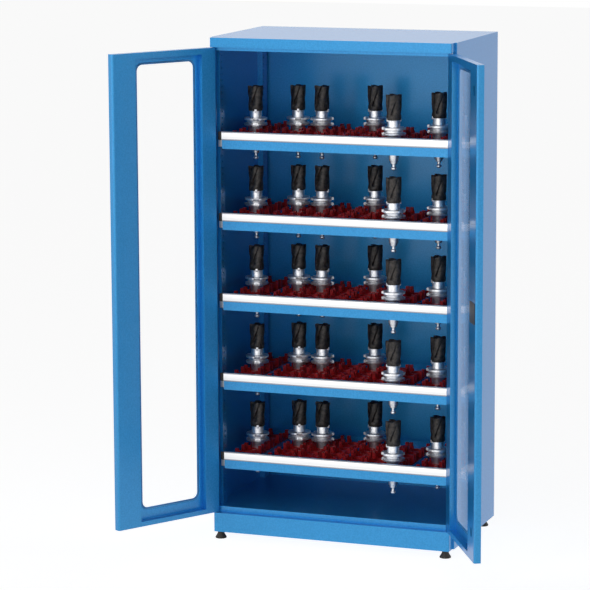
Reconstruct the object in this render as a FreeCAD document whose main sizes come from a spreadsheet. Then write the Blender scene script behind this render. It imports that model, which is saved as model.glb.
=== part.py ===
"""Tool cabinet with two glazed doors, five sliding tool shelves and four levelling feet.

Lengths are in millimetres. The origin is on the floor below the middle of the body, +Z is up, the doors
face -Y and X runs across the front. The doors are drawn closed, then stood at their open rest angle.
"""

import FreeCAD
import Part
import Sketcher
import os
import re

SIZES = {
    # Body shell
    "body_width": 1010.0,
    "body_depth": 615.0,
    "body_height": 2000.0,
    "foot_height": 30.0,
    "panel_gauge": 1.5,
    "roof_flange": 25.0,
    "rear_flange": 20.0,
    # Front frame: fascia, plinth, posts and the rail that the doors close on
    "front_inset": 8.0,
    "front_depth": 44.0,
    "front_radius": 5.0,
    "fascia_height": 38.0,
    "plinth_height": 78.0,
    "post_width": 11.0,
    "post_set_back": 34.5,
    "rail_drop": 14.5,
    "rail_gauge": 2.0,
    "rail_flange": 22.0,
    "floor_rise": 22.0,
    "door_seat_gap": 0.5,
    # Perforated uprights inside the side walls
    "upright_stand_off": 24.0,
    "upright_front_gap": 22.0,
    "front_upright_width": 48.5,
    "front_hole_distance": 23.0,
    "rear_upright_room": 65.5,
    "rear_upright_width": 48.5,
    "rear_hole_distance": 12.0,
    "upright_top_gap": 30.0,
    "hole_width": 10.0,
    "hole_height": 7.0,
    "hole_pitch": 25.0,
    "hole_first": 20.0,
    # Doors
    "door_side_gap": 2.0,
    "door_end_gap": 2.0,
    "door_thick": 28.0,
    "door_gauge": 1.5,
    "door_edge_radius": 8.0,
    "door_bend_radius": 2.5,
    "door_left_open_angle": 121.4,
    "door_right_open_angle": 119.1,
    "hinge_edge_offset": 5.0,
    "hinge_back_offset": 12.0,
    "hinge_stile": 65.0,
    "free_stile": 109.0,
    "door_rail": 19.0,
    "door_top_rail": 24.0,
    "window_hinge_margin": 90.0,
    "window_free_margin": 133.0,
    "window_low_margin": 68.0,
    "window_high_margin": 50.0,
    "window_radius": 25.0,
    "pane_overlap": 10.0,
    "pane_thick": 4.0,
    "seal_thick": 1.5,
    "seal_inset": 2.0,
    # Door hinges
    "pin_radius": 2.0,
    "pin_clearance": 0.1,
    "pin_overrun": 1.0,
    "hinge_plate_length": 40.0,
    "hinge_plate_width": 22.5,
    "hinge_plate_thick": 5.0,
    "washer_radius": 4.5,
    "washer_clearance": 0.2,
    "bracket_length": 40.0,
    "bracket_width": 22.0,
    "bracket_thick": 3.0,
    # Lock on the right door
    "lock_edge_distance": 50.0,
    "lock_height": 1061.5,
    "lock_cover_width": 80.0,
    "lock_cover_height": 81.0,
    "lock_cover_depth": 3.0,
    "lock_body_width": 56.0,
    "lock_body_height": 76.0,
    "lock_body_depth": 20.0,
    "lock_body_clearance": 1.0,
    "spindle_rise": 14.0,
    "spindle_radius": 5.0,
    "spindle_clearance": 0.1,
    "cylinder_drop": 22.0,
    "cylinder_radius": 8.0,
    "cylinder_stand_out": 1.0,
    "escutcheon_width": 30.0,
    "escutcheon_height": 84.0,
    "escutcheon_thick": 2.0,
    "lever_length": 75.0,
    "lever_width": 14.0,
    "lever_thick": 5.0,
    "lever_hub_radius": 12.0,
    "lever_lift": 1.3,
    "rod_edge_distance": 30.0,
    "rod_depth": 15.0,
    "rod_radius": 4.0,
    "rod_clearance": 0.1,
    "rod_entry": 10.0,
    "rod_tip_set_back": 1.0,
    "keeper_clearance": 0.6,
    "slot_width": 18.0,
    "slot_edge_distance": 50.0,
    "slot_length": 37.0,
    "slot_low_distance": 110.0,
    "slot_top_distance": 100.0,
    # Levelling feet
    "foot_side_offset": 30.0,
    "foot_front_offset": 22.5,
    "foot_rear_offset": 60.5,
    "foot_radius": 23.0,
    "foot_rim": 4.0,
    "foot_bell_height": 20.0,
    "foot_neck_radius": 13.0,
    "foot_seat_gap": 0.3,
    "stem_radius": 5.0,
    "stem_length": 55.0,
    "stem_clearance": 0.1,
    "foot_plate_width": 50.0,
    "foot_plate_depth": 30.0,
    "foot_plate_thick": 6.0,
    # Sliding shelves, measured down from the top of the handle strip
    "shelf_first_top": 356.0,
    "shelf_height_spare": 375.0,
    "shelf_side_room": 16.0,
    "shelf_front_gap": 3.5,
    "shelf_back_room": 57.5,
    "shelf_gauge": 1.5,
    "shelf_face_left_room": 43.0,
    "shelf_face_right_room": 31.0,
    "shelf_front_depth": 11.5,
    "shelf_height": 69.0,
    "shelf_rim_drop": 20.0,
    "shelf_lip": 10.0,
    "strip_height": 34.0,
    "strip_gauge": 2.5,
    "strip_lip": 1.5,
    "strip_left_room": 42.0,
    "strip_right_room": 31.0,
    "cap_left": 14.0,
    "cap_right": 3.0,
    "deck_drop": 42.0,
    "tray_gap": 10.0,
    "tray_split_room": 161.0,
    "tray_edge_room": 9.0,
    "tray_rim": 17.0,
    # Runners
    "runner_drop": 45.0,
    "runner_half_height": 15.0,
    "runner_thick": 9.0,
    "runner_front_gap": 2.0,
    "runner_clearance": 0.4,
    "runner_side_clearance": 0.5,
    "runner_gauge": 1.5,
    "runner_lip_gap": 1.5,
    "runner_back_room": 35.5,
    "runner_start": 2.5,
    # Tool inserts
    "insert_side": 86.0,
    "insert_plate": 4.0,
    "insert_ring_radius": 33.0,
    "insert_ring_height": 10.0,
    "insert_sleeve_radius": 31.0,
    "insert_sleeve_height": 14.0,
    "insert_lug": 13.0,
    "insert_lug_height": 32.0,
    "insert_arm_width": 5.0,
    "insert_arm_height": 20.0,
    "insert_hole_gap": 0.3,
    "insert_seat_gap": 0.3,
    "row_depth_spare": 191.0,
    # Insert columns: rooms to the shelf's sides, places across it, and depth of the first row
    "column_a_room": 57.0,
    "column_a_depth": 167.5,
    "column_b_x": -254.0,
    "column_b_depth": 139.5,
    "column_b_pitch": 102.0,
    "column_c_x": 50.0,
    "column_c_depth": 106.5,
    "column_c_pitch": 90.5,
    "column_d_room": 89.0,
    "column_d_depth": 131.5,
    # Tool holders and cutters
    "tool_drop": 136.0,
    "stud_radius": 10.5,
    "stud_length": 14.0,
    "neck_radius": 6.5,
    "neck_length": 12.0,
    "collar_radius": 13.0,
    "collar_wide_radius": 15.0,
    "collar_length": 10.0,
    "taper_radius": 18.0,
    "taper_wide_radius": 27.0,
    "taper_length": 101.0,
    "flange_radius": 47.0,
    "flange_length": 33.0,
    "groove_depth": 7.0,
    "groove_half_width": 5.5,
    "drive_slot_width": 25.0,
    "drive_slot_depth": 8.0,
    "nose_radius": 25.0,
    "nose_length": 28.0,
    "cutter_radius": 31.0,
    "cutter_head_room": 225.0,
    "cutter_bore_radius": 9.0,
    "cutter_bore_depth": 14.0,
    "cutter_notch_width": 12.0,
    "cutter_notch_depth": 7.0,
    # One overrun for all cuts
    "overrun": 5.0,
}

# Corner radius of a service slot, as a share of its width
SLOT_ROUND_SHARE = 0.48

SHELF_COUNT = 5
ROW_COUNT = 4
SIDES = ("left", "right")

# Tools on each shelf: insert column, row from the front, and the turn of the drive slots in degrees
TOOLS = [(0, 1, -40), (1, 2, -40), (2, 2, -5), (4, 3, 35), (6, 0, 35), (7, 1, 35)]

# Planes that many pieces share, as expressions in the sheet's sizes
HALF = "(body_width / 2)"
FRONT = "(-body_depth / 2)"
BACK = "(body_depth / 2)"
BASE = "foot_height"
TOP = "(foot_height + body_height)"
STEP = f"({FRONT} + front_depth)"
FRONT_HALF = f"({HALF} - front_inset)"
FASCIA_LOW = f"({TOP} - fascia_height)"
PLINTH_TOP = f"({BASE} + plinth_height)"
FLOOR_TOP = f"({PLINTH_TOP} + floor_rise)"
POST_FRONT = f"({FRONT} + post_set_back)"
POST_INNER = f"({FRONT_HALF} - post_width)"
DOOR_BACK = f"({FRONT} + door_thick)"
DOOR_SEAT = f"({DOOR_BACK} + door_seat_gap)"
UPRIGHT_FACE = f"({HALF} - upright_stand_off)"
SHELF_SIDE = f"({UPRIGHT_FACE} - shelf_side_room)"
SHELF_BACK = f"({BACK} - shelf_back_room)"
SHELF_PITCH = f"((body_height - shelf_height_spare) / {SHELF_COUNT})"
WALL_FACE = f"({HALF} - panel_gauge)"
FRONT_FACE = f"({FRONT_HALF} - panel_gauge)"
FRONT_UPRIGHT_START = f"({STEP} + panel_gauge + upright_front_gap)"
REAR_UPRIGHT_START = f"({BACK} - rear_upright_room)"

# Door planes, measured from the hinge axis: along the leaf and through its thickness
LEAF_START = "(-hinge_edge_offset)"
LEAF_END = f"({FRONT_HALF} - door_side_gap - hinge_edge_offset)"
FACE_END = f"({LEAF_END} - door_edge_radius)"
LEAF_OUTER = "(hinge_back_offset - door_thick)"
LEAF_INNER = "hinge_back_offset"
LOCK_U = f"({LEAF_END} - lock_edge_distance)"
ROD_U = f"({LEAF_END} - rod_edge_distance)"
SLOT_U = f"({LEAF_END} - slot_edge_distance)"
LEAF_LOW = f"({PLINTH_TOP} + door_end_gap)"
LEAF_HIGH = f"({FASCIA_LOW} - door_end_gap)"
SKIN_INNER = f"({LEAF_OUTER} + door_gauge)"
FRAME_BACK = f"({LEAF_INNER} - door_gauge)"
HINGE_X = f"({FRONT_HALF} - hinge_edge_offset)"
HINGE_Y = f"({DOOR_BACK} - hinge_back_offset)"

ALIAS = re.compile(r"\b(" + "|".join(sorted(SIZES, key=len, reverse=True)) + r")\b")

doc = FreeCAD.newDocument("tool_cabinet")
nodes = []


def make_sheet():
    """Write every size into the spreadsheet under its own alias."""
    sheet = doc.addObject("Spreadsheet::Sheet", "Sizes")
    for row, (alias, value) in enumerate(SIZES.items(), 1):
        sheet.set(f"A{row}", alias)
        sheet.set(f"B{row}", str(value))
        sheet.setAlias(f"B{row}", alias)
    doc.recompute()
    return sheet


def bind(thing, target, text):
    """Tie one property to an expression written with the sheet's aliases."""
    thing.setExpression(target, ALIAS.sub(r"Sizes.\1", text))


def value_of(text):
    """Work out an expression written with the sheet's aliases."""
    return float(doc.Sizes.evalExpression(ALIAS.sub(r"Sizes.\1", text)))


def box(name, x, y, z):
    """Add a block between low and high expressions along each axis."""
    block = doc.addObject("Part::Box", name)
    for size, axis, (low, high) in zip(("Length", "Width", "Height"), "xyz", (x, y, z)):
        bind(block, size, f"({high}) - ({low})")
        bind(block, f"Placement.Base.{axis}", low)
    return block


def round_bar(name, x, y, z, radius, top_radius=None):
    """Add an upright cylinder, or a cone when the top radius differs."""
    low, high = z
    kind = "Part::Cone" if top_radius else "Part::Cylinder"
    bar = doc.addObject(kind, name)
    bind(bar, "Radius1" if top_radius else "Radius", radius)
    if top_radius:
        bind(bar, "Radius2", top_radius)
    bind(bar, "Height", f"({high}) - ({low})")
    for axis, value in zip("xyz", (x, y, low)):
        bind(bar, f"Placement.Base.{axis}", value)
    return bar


def level_bar(name, x, y, z, radius):
    """Add a cylinder that lies along Y between two expressions."""
    low, high = y
    bar = doc.addObject("Part::Cylinder", name)
    bar.Placement = FreeCAD.Placement(FreeCAD.Vector(), FreeCAD.Rotation(FreeCAD.Vector(1, 0, 0), -90))
    bind(bar, "Radius", radius)
    bind(bar, "Height", f"({high}) - ({low})")
    for axis, value in zip("xyz", (x, low, z)):
        bind(bar, f"Placement.Base.{axis}", value)
    return bar


def fuse(name, pieces):
    """Join pieces into one solid with its seams refined away."""
    joined = doc.addObject("Part::MultiFuse", name)
    joined.Shapes = pieces
    joined.Refine = True
    return joined


def group(name, pieces):
    """Hold separate solids together in one object."""
    held = doc.addObject("Part::Compound", name)
    held.Links = pieces
    return held


def cut(name, base, tools):
    """Take one or more tools out of a base."""
    result = doc.addObject("Part::Cut", name)
    result.Base = base
    result.Tool = tools[0] if len(tools) == 1 else fuse(f"{name}_tools", tools)
    result.Refine = True
    return result


def rounded(name, base, radius, picks):
    """Round the edges that a test picks out, to a radius read from the sheet."""
    doc.recompute()
    size = SIZES[radius] if isinstance(radius, str) else radius
    numbers = [number for number, edge in enumerate(base.Shape.Edges, 1) if picks(edge)]
    fillet = doc.addObject("Part::Fillet", name)
    fillet.Base = base
    fillet.Edges = [(number, size, size) for number in numbers]
    return fillet


def runs_along(edge, axis):
    """Tell whether a straight edge runs along one axis."""
    ends = [vertex.Point for vertex in edge.Vertexes]
    if len(ends) != len(SIDES):
        return False
    run = (ends[1] - ends[0]).normalize()
    return abs(abs(run.dot(axis)) - 1) < 1e-6


def through_corner(edge):
    """Pick the corners of a block that run through the door's thickness."""
    return runs_along(edge, FreeCAD.Vector(0, 1, 0))


def keep(thing, label):
    """Register an object as a node of the cabinet under its own label."""
    thing.Label = label
    nodes.append(thing)
    return thing


def placed(name, thing, x="0", y="0", z="0", angle="0"):
    """Stand a copy of a drawn piece at a place and a turn about the vertical."""
    copy = group(name, [thing])
    for axis, value in zip("xyz", (x, y, z)):
        bind(copy, f"Placement.Base.{axis}", value)
    bind(copy, "Placement.Rotation.Angle", angle)
    return copy


def outward(side, near, far):
    """Give the low and high X of a span measured outwards from the middle."""
    return (near, far) if side == "right" else (f"-({far})", f"-({near})")


# Body shell


def make_side_panel(side):
    """Side wall with its folded front step and the post that the shelves pass."""
    name = f"side_panel_{side}"
    panel = fuse(name, [
        box(f"{name}_wall", outward(side, WALL_FACE, HALF), (STEP, BACK), (BASE, f"{TOP} - panel_gauge")),
        box(
            f"{name}_step",
            outward(side, FRONT_FACE, HALF),
            (STEP, f"{STEP} + panel_gauge"),
            (PLINTH_TOP, FASCIA_LOW),
        ),
        box(
            f"{name}_cheek",
            outward(side, FRONT_FACE, FRONT_HALF),
            (POST_FRONT, f"{STEP} + panel_gauge"),
            (PLINTH_TOP, FASCIA_LOW),
        ),
        box(
            f"{name}_post",
            outward(side, POST_INNER, FRONT_HALF),
            (POST_FRONT, f"{POST_FRONT} + panel_gauge"),
            (PLINTH_TOP, FASCIA_LOW),
        ),
        box(
            f"{name}_post_return",
            outward(side, POST_INNER, f"{POST_INNER} + panel_gauge"),
            (POST_FRONT, f"{STEP} - panel_gauge"),
            (PLINTH_TOP, FASCIA_LOW),
        ),
        box(
            f"{name}_front_end_low",
            outward(side, f"{FRONT_HALF} - rear_flange", HALF),
            (STEP, f"{STEP} + panel_gauge"),
            (BASE, PLINTH_TOP),
        ),
        box(
            f"{name}_front_end_high",
            outward(side, f"{FRONT_HALF} - rear_flange", HALF),
            (STEP, f"{STEP} + panel_gauge"),
            (FASCIA_LOW, f"{TOP} - panel_gauge"),
        ),
        box(
            f"{name}_rear_flange",
            outward(side, f"{HALF} - rear_flange", HALF),
            (f"{BACK} - 2 * panel_gauge", f"{BACK} - panel_gauge"),
            (BASE, f"{TOP} - roof_flange - panel_gauge"),
        ),
    ])
    return keep(panel, name)


def make_back_panel():
    """Flat sheet between the side walls."""
    sheet = box(
        "back_panel",
        (f"-{WALL_FACE}", WALL_FACE),
        (f"{BACK} - panel_gauge", BACK),
        (BASE, f"{TOP} - panel_gauge"),
    )
    return keep(sheet, "back_panel")


def make_roof_panel():
    """Top sheet with flanges folded down inside the walls."""
    inner_back = f"({BACK} - panel_gauge)"
    low = f"({TOP} - roof_flange)"
    high = f"({TOP} - panel_gauge)"
    pieces = [box("roof_sheet", (f"-{HALF}", HALF), (STEP, BACK), (high, TOP))]
    for side in SIDES:
        span = outward(side, f"{WALL_FACE} - panel_gauge", WALL_FACE)
        pieces.append(box(f"roof_flange_{side}", span, (f"{STEP} + 2 * panel_gauge", inner_back), (low, high)))
    wide = (f"-{WALL_FACE}", WALL_FACE)
    pieces.append(box("roof_flange_back", wide, (f"{inner_back} - panel_gauge", inner_back), (low, high)))
    front_wide = (f"-({FRONT_HALF} - rear_flange)", f"{FRONT_HALF} - rear_flange")
    pieces.append(box("roof_flange_front", front_wide, (STEP, f"{STEP} + panel_gauge"), (low, high)))
    return keep(fuse("roof_panel", pieces), "roof_panel")


def front_corner(edge):
    """Pick the two upright edges at the front of a fascia or plinth block."""
    middle = -SIZES["body_depth"] / 2 + SIZES["front_depth"] / 2
    return runs_along(edge, FreeCAD.Vector(0, 0, 1)) and edge.CenterOfMass.y < middle


def front_box(name, low, high, floor_gauge):
    """Hollow box section across the front, with rounded corners."""
    blank = box(f"{name}_blank", (f"-{FRONT_HALF}", FRONT_HALF), (FRONT, STEP), (low, high))
    hollow = box(
        f"{name}_hollow",
        (f"-{FRONT_FACE}", FRONT_FACE),
        (f"{FRONT} + panel_gauge", f"{STEP} - panel_gauge"),
        (f"{low} + {floor_gauge}", f"{high} - panel_gauge"),
    )
    outer = rounded(f"{name}_outer", blank, "front_radius", front_corner)
    inner_radius = SIZES["front_radius"] - SIZES["panel_gauge"]
    return outer, rounded(f"{name}_inner", hollow, inner_radius, front_corner)


def keeper_holes(name, z):
    """Holes that take the two hinge pins and the locking rod of a closed door."""
    radius = "pin_radius + keeper_clearance"
    holes = [
        round_bar(f"{name}_pin_left", f"-{HINGE_X}", HINGE_Y, z, radius),
        round_bar(f"{name}_pin_right", HINGE_X, HINGE_Y, z, radius),
        round_bar(
            f"{name}_rod",
            f"{HINGE_X} - {ROD_U}",
            f"{HINGE_Y} + {LEAF_OUTER} + rod_depth",
            z,
            "rod_radius + keeper_clearance",
        ),
    ]
    return holes


def make_top_fascia():
    """Box section above the doors."""
    outer, inner = front_box("top_fascia", FASCIA_LOW, TOP, "panel_gauge")
    holes = keeper_holes("top_fascia", (f"{FASCIA_LOW} - overrun", f"{FASCIA_LOW} + overrun"))
    return keep(cut("top_fascia", outer, [inner] + holes), "top_fascia")


def make_plinth():
    """Box section below the doors, open underneath."""
    outer, inner = front_box("plinth", BASE, PLINTH_TOP, "(-overrun)")
    holes = keeper_holes("plinth", (f"{PLINTH_TOP} - overrun", f"{PLINTH_TOP} + overrun"))
    return keep(cut("plinth", outer, [inner] + holes), "plinth")


def make_top_rail():
    """Angle under the fascia that the doors close against."""
    low = f"({FASCIA_LOW} - rail_drop)"
    wide = (f"-{POST_INNER}", POST_INNER)
    rail = fuse("top_rail", [
        box("top_rail_face", wide, (DOOR_SEAT, f"{DOOR_SEAT} + rail_gauge"), (low, FASCIA_LOW)),
        box(
            "top_rail_flange",
            wide,
            (DOOR_SEAT, f"{DOOR_SEAT} + rail_flange"),
            (f"{FASCIA_LOW} - rail_gauge", FASCIA_LOW),
        ),
    ])
    return keep(rail, "top_rail")


def make_floor_panel():
    """Floor tray with a front lip that stands on the plinth."""
    plate = (f"{FLOOR_TOP} - panel_gauge", FLOOR_TOP)
    inner_back = f"{BACK} - 2 * panel_gauge"
    front_wide = (f"-{POST_INNER}", POST_INNER)
    panel = fuse("floor_panel", [
        box("floor_front", front_wide, (DOOR_SEAT, f"{STEP} + 2 * panel_gauge"), plate),
        box("floor_main", (f"-{WALL_FACE}", WALL_FACE), (f"{STEP} + panel_gauge", inner_back), plate),
        box("floor_lip", front_wide, (DOOR_SEAT, f"{DOOR_SEAT} + panel_gauge"), (PLINTH_TOP, FLOOR_TOP)),
    ])
    return keep(panel, "floor_panel")


def bound_outline(body, name, role, points):
    """Draw a closed polygon on an origin plane with each corner bound to the sheet."""
    plane = next(item for item in body.Origin.OriginFeatures if item.Role == role)
    sketch = body.newObject("Sketcher::SketchObject", name)
    sketch.AttachmentSupport = [(plane, "")]
    sketch.MapMode = "FlatFace"
    corners = [FreeCAD.Vector(value_of(x), value_of(y), 0) for x, y in points]
    for start, end in zip(corners, corners[1:] + corners[:1]):
        sketch.addGeometry(Part.LineSegment(start, end))
    for index in range(len(corners)):
        follower = (index + 1) % len(corners)
        sketch.addConstraint(Sketcher.Constraint("Coincident", index, 2, follower, 1))
    for index, (corner, pair) in enumerate(zip(corners, points)):
        for kind, place, text in zip(("DistanceX", "DistanceY"), (corner.x, corner.y), pair):
            number = sketch.addConstraint(Sketcher.Constraint(kind, -1, 1, index, 1, place))
            bind(sketch, f"Constraints[{number}]", text)
    return sketch


def make_upright_body(name, width, hole_distance):
    """One perforated channel: a folded profile with a row of slots."""
    body = doc.addObject("PartDesign::Body", name)
    length = f"({TOP} - upright_top_gap - {FLOOR_TOP})"
    depth = f"({WALL_FACE} - {UPRIGHT_FACE})"
    profile = bound_outline(body, f"{name}_profile", "XY_Plane", [
        ("0", "0"),
        (depth, "0"),
        (depth, "panel_gauge"),
        ("panel_gauge", "panel_gauge"),
        ("panel_gauge", f"{width} - panel_gauge"),
        (depth, f"{width} - panel_gauge"),
        (depth, width),
        ("0", width),
    ])
    pad = body.newObject("PartDesign::Pad", f"{name}_pad")
    pad.Profile = profile
    bind(pad, "Length", length)
    doc.recompute()
    near = f"({hole_distance} - hole_width / 2)"
    far = f"({hole_distance} + hole_width / 2)"
    window = bound_outline(body, f"{name}_hole", "YZ_Plane", [
        (near, "hole_first"),
        (far, "hole_first"),
        (far, "hole_first + hole_height"),
        (near, "hole_first + hole_height"),
    ])
    pocket = body.newObject("PartDesign::Pocket", f"{name}_pocket")
    pocket.Profile = window
    pocket.Midplane = True
    bind(pocket, "Length", "2 * overrun")
    doc.recompute()
    row = body.newObject("PartDesign::LinearPattern", f"{name}_holes")
    row.Originals = [pocket]
    row.Direction = (window, ["V_Axis"])
    count = f"floor(({length} - 2 * hole_first) / hole_pitch)"
    bind(row, "Occurrences", f"{count} + 1")
    bind(row, "Length", f"{count} * hole_pitch")
    body.Tip = row
    doc.recompute()
    if not body.Shape.Volume < pad.Shape.Volume:
        raise RuntimeError("the holes of an upright cut nothing")
    return body


def make_uprights():
    """Four perforated uprights: a front and a rear one on the right, mirrored to the left."""
    front = make_upright_body("upright_front", "front_upright_width", "front_hole_distance")
    rear = make_upright_body("upright_rear", "rear_upright_width", "rear_hole_distance")
    right = group("uprights_right", [
        placed("upright_front_right", front, UPRIGHT_FACE, FRONT_UPRIGHT_START, FLOOR_TOP),
        placed("upright_rear_right", rear, UPRIGHT_FACE, REAR_UPRIGHT_START, FLOOR_TOP),
    ])
    left = doc.addObject("Part::Mirroring", "uprights_left")
    left.Source = right
    left.Normal = FreeCAD.Vector(1, 0, 0)
    return keep(group("perforated_uprights", [right, left]), "perforated_uprights")


def make_hinge_brackets():
    """Four plates behind the fascia and plinth that hold the door pins."""
    plates = []
    levels = {
        "top": (f"{FASCIA_LOW} + panel_gauge", f"{FASCIA_LOW} + panel_gauge + bracket_thick"),
        "bottom": (f"{PLINTH_TOP} - panel_gauge - bracket_thick", f"{PLINTH_TOP} - panel_gauge"),
    }
    for side in SIDES:
        across = HINGE_X if side == "right" else f"-{HINGE_X}"
        for level, span in levels.items():
            name = f"hinge_bracket_{side}_{level}"
            depth = (f"{HINGE_Y} - bracket_width / 2", f"{HINGE_Y} + bracket_width / 2")
            across_span = outward(side, f"{FRONT_FACE} - bracket_length", FRONT_FACE)
            plate = box(f"{name}_plate", across_span, depth, span)
            hole_span = (f"{span[0]} - overrun", f"{span[1]} + overrun")
            hole = round_bar(f"{name}_hole", across, HINGE_Y, hole_span, "pin_radius + pin_clearance")
            plates.append(cut(name, plate, [hole]))
    return keep(group("hinge_brackets", plates), "hinge_brackets")


# Levelling feet


def foot_places():
    """Name and centre of each foot: the front ones in the plinth, the rear ones under the side walls."""
    across = f"({HALF} - foot_side_offset)"
    front = f"({FRONT} + foot_front_offset)"
    rear = f"({BACK} - foot_rear_offset)"
    return {
        "front_left": (f"-{across}", front),
        "front_right": (across, front),
        "rear_left": (f"-{across}", rear),
        "rear_right": (across, rear),
    }


def make_foot_brackets():
    """Threaded plates inside the body's lower edge, one over each foot."""
    plates = []
    for name, (x, y) in foot_places().items():
        side = "right" if name.endswith("right") else "left"
        wall = FRONT_FACE if name.startswith("front") else WALL_FACE
        span = outward(side, f"{wall} - foot_plate_width", wall)
        depth = (f"{y} - foot_plate_depth / 2", f"{y} + foot_plate_depth / 2")
        height = (BASE, f"{BASE} + foot_plate_thick")
        plate = box(f"foot_plate_{name}", span, depth, height)
        hole_span = (f"{BASE} - overrun", f"{BASE} + foot_plate_thick + overrun")
        hole = round_bar(f"foot_plate_{name}_hole", x, y, hole_span, "stem_radius + stem_clearance")
        plates.append(cut(f"foot_plate_{name}_drilled", plate, [hole]))
    return keep(group("foot_brackets", plates), "foot_brackets")


def make_feet():
    """Bell-shaped levelling feet on threaded stems."""
    bell_top = "(foot_rim + foot_bell_height)"
    foot = fuse("foot", [
        round_bar("foot_rim_disc", "0", "0", ("0", "foot_rim"), "foot_radius"),
        round_bar("foot_bell", "0", "0", ("foot_rim", bell_top), "foot_radius", "foot_neck_radius"),
        round_bar("foot_neck", "0", "0", (bell_top, f"{BASE} - foot_seat_gap"), "foot_neck_radius"),
        round_bar("foot_stem", "0", "0", ("foot_rim", "foot_rim + stem_length"), "stem_radius"),
    ])
    for name, (x, y) in foot_places().items():
        keep(placed(f"foot_{name}", foot, x, y), f"foot_{name}")


# Doors, drawn closed with the hinge axis at the origin and the leaf along +X or -X


def leaf_box(side, name, u, y, z):
    """Block in a door's own frame, mirrored for the right door."""
    span = u if side == "left" else (f"-({u[1]})", f"-({u[0]})")
    return box(name, span, y, z)


def stand_open(side, name, drawn):
    """Hang a drawn door piece on its hinge at the open rest angle."""
    turn = "-door_left_open_angle" if side == "left" else "door_right_open_angle"
    x = f"-{HINGE_X}" if side == "left" else HINGE_X
    return keep(placed(name, drawn, x, HINGE_Y, "0", turn), name)


WINDOW_U = (f"({LEAF_START} + window_hinge_margin)", f"({LEAF_END} - window_free_margin)")
WINDOW_Z = (f"({LEAF_LOW} + window_low_margin)", f"({LEAF_HIGH} - window_high_margin)")


def window_block(side, name, grow, y, radius):
    """Rounded block of the window's outline, grown all round by one value."""
    u = (f"{WINDOW_U[0]} - {grow}", f"{WINDOW_U[1]} + {grow}")
    z = (f"{WINDOW_Z[0]} - {grow}", f"{WINDOW_Z[1]} + {grow}")
    blank = leaf_box(side, f"{name}_blank", u, y, z)
    return rounded(name, blank, radius, through_corner)


def free_corner(side, face):
    """Make the test that picks a leaf's upright edge on the free side, at its outer or inner face."""
    limit = SIZES["body_width"] / 4
    middle = SIZES["hinge_back_offset"] - SIZES["door_thick"] / 2

    def picks(edge):
        across = edge.CenterOfMass.x if side == "left" else -edge.CenterOfMass.x
        upright = runs_along(edge, FreeCAD.Vector(0, 0, 1))
        return upright and across > limit and (edge.CenterOfMass.y < middle) == (face == "outer")

    return picks


def bent(side, name, blank, shrink):
    """Round a leaf block's two free corners, wide at the inner face and tight at the outer one."""
    wide = SIZES["door_edge_radius"] - shrink
    tight = SIZES["door_bend_radius"] - shrink
    inner = rounded(f"{name}_inner_bend", blank, wide, free_corner(side, "inner"))
    return rounded(name, inner, tight, free_corner(side, "outer"))


def make_door_skin(side, extra_holes):
    """Outer pan of a door: sheet, returns, the wrapped free edge and the window opening."""
    name = f"door_{side}_skin"
    blank = leaf_box(
        side, f"{name}_blank", (LEAF_START, LEAF_END), (LEAF_OUTER, LEAF_INNER), (LEAF_LOW, LEAF_HIGH)
    )
    hollow = leaf_box(
        side,
        f"{name}_hollow",
        (f"{LEAF_START} + door_gauge", f"{LEAF_END} - door_gauge"),
        (SKIN_INNER, FRAME_BACK),
        (f"{LEAF_LOW} + door_gauge", f"{LEAF_HIGH} - door_gauge"),
    )
    outer = bent(side, f"{name}_outer", blank, 0)
    inner = bent(side, f"{name}_inner", hollow, SIZES["door_gauge"])
    frame_seat = leaf_box(
        side,
        f"{name}_frame_seat",
        (f"{LEAF_START} - overrun", FACE_END),
        (FRAME_BACK, f"{LEAF_INNER} + overrun"),
        (f"{LEAF_LOW} - overrun", f"{LEAF_HIGH} + overrun"),
    )
    window = window_block(
        side, f"{name}_window", "0", (f"{LEAF_OUTER} - overrun", f"{SKIN_INNER} + overrun"), "window_radius"
    )
    pins = [
        round_bar(f"{name}_pin_hole_{level}", "0", "0", span, "pin_radius")
        for level, span in {
            "top": (f"{LEAF_HIGH} - overrun", f"{LEAF_HIGH} + overrun"),
            "bottom": (f"{LEAF_LOW} - overrun", f"{LEAF_LOW} + overrun"),
        }.items()
    ]
    drawn = cut(f"{name}_drawn", outer, [inner, frame_seat, window] + pins + extra_holes)
    return stand_open(side, name, drawn)


OPENING_U = (f"({LEAF_START} + hinge_stile)", f"({LEAF_END} - free_stile)")
OPENING_Z = (f"({LEAF_LOW} + door_rail)", f"({LEAF_HIGH} - door_top_rail)")


def make_door_frame(side, extra_holes):
    """Inner frame of a door: stiles and rails with walls down to the skin."""
    name = f"door_{side}_frame"
    face = leaf_box(
        side, f"{name}_face", (LEAF_START, FACE_END), (FRAME_BACK, LEAF_INNER), (LEAF_LOW, LEAF_HIGH)
    )
    walls = leaf_box(
        side,
        f"{name}_walls",
        (f"{OPENING_U[0]} - door_gauge", f"{OPENING_U[1]} + door_gauge"),
        (SKIN_INNER, FRAME_BACK),
        (f"{OPENING_Z[0]} - door_gauge", f"{OPENING_Z[1]} + door_gauge"),
    )
    opening = leaf_box(
        side, f"{name}_opening", OPENING_U, (f"{SKIN_INNER} - overrun", f"{LEAF_INNER} + overrun"), OPENING_Z
    )
    blank = fuse(f"{name}_blank", [face, walls])
    drawn = cut(f"{name}_drawn", blank, [opening] + extra_holes)
    return stand_open(side, name, drawn)


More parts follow.
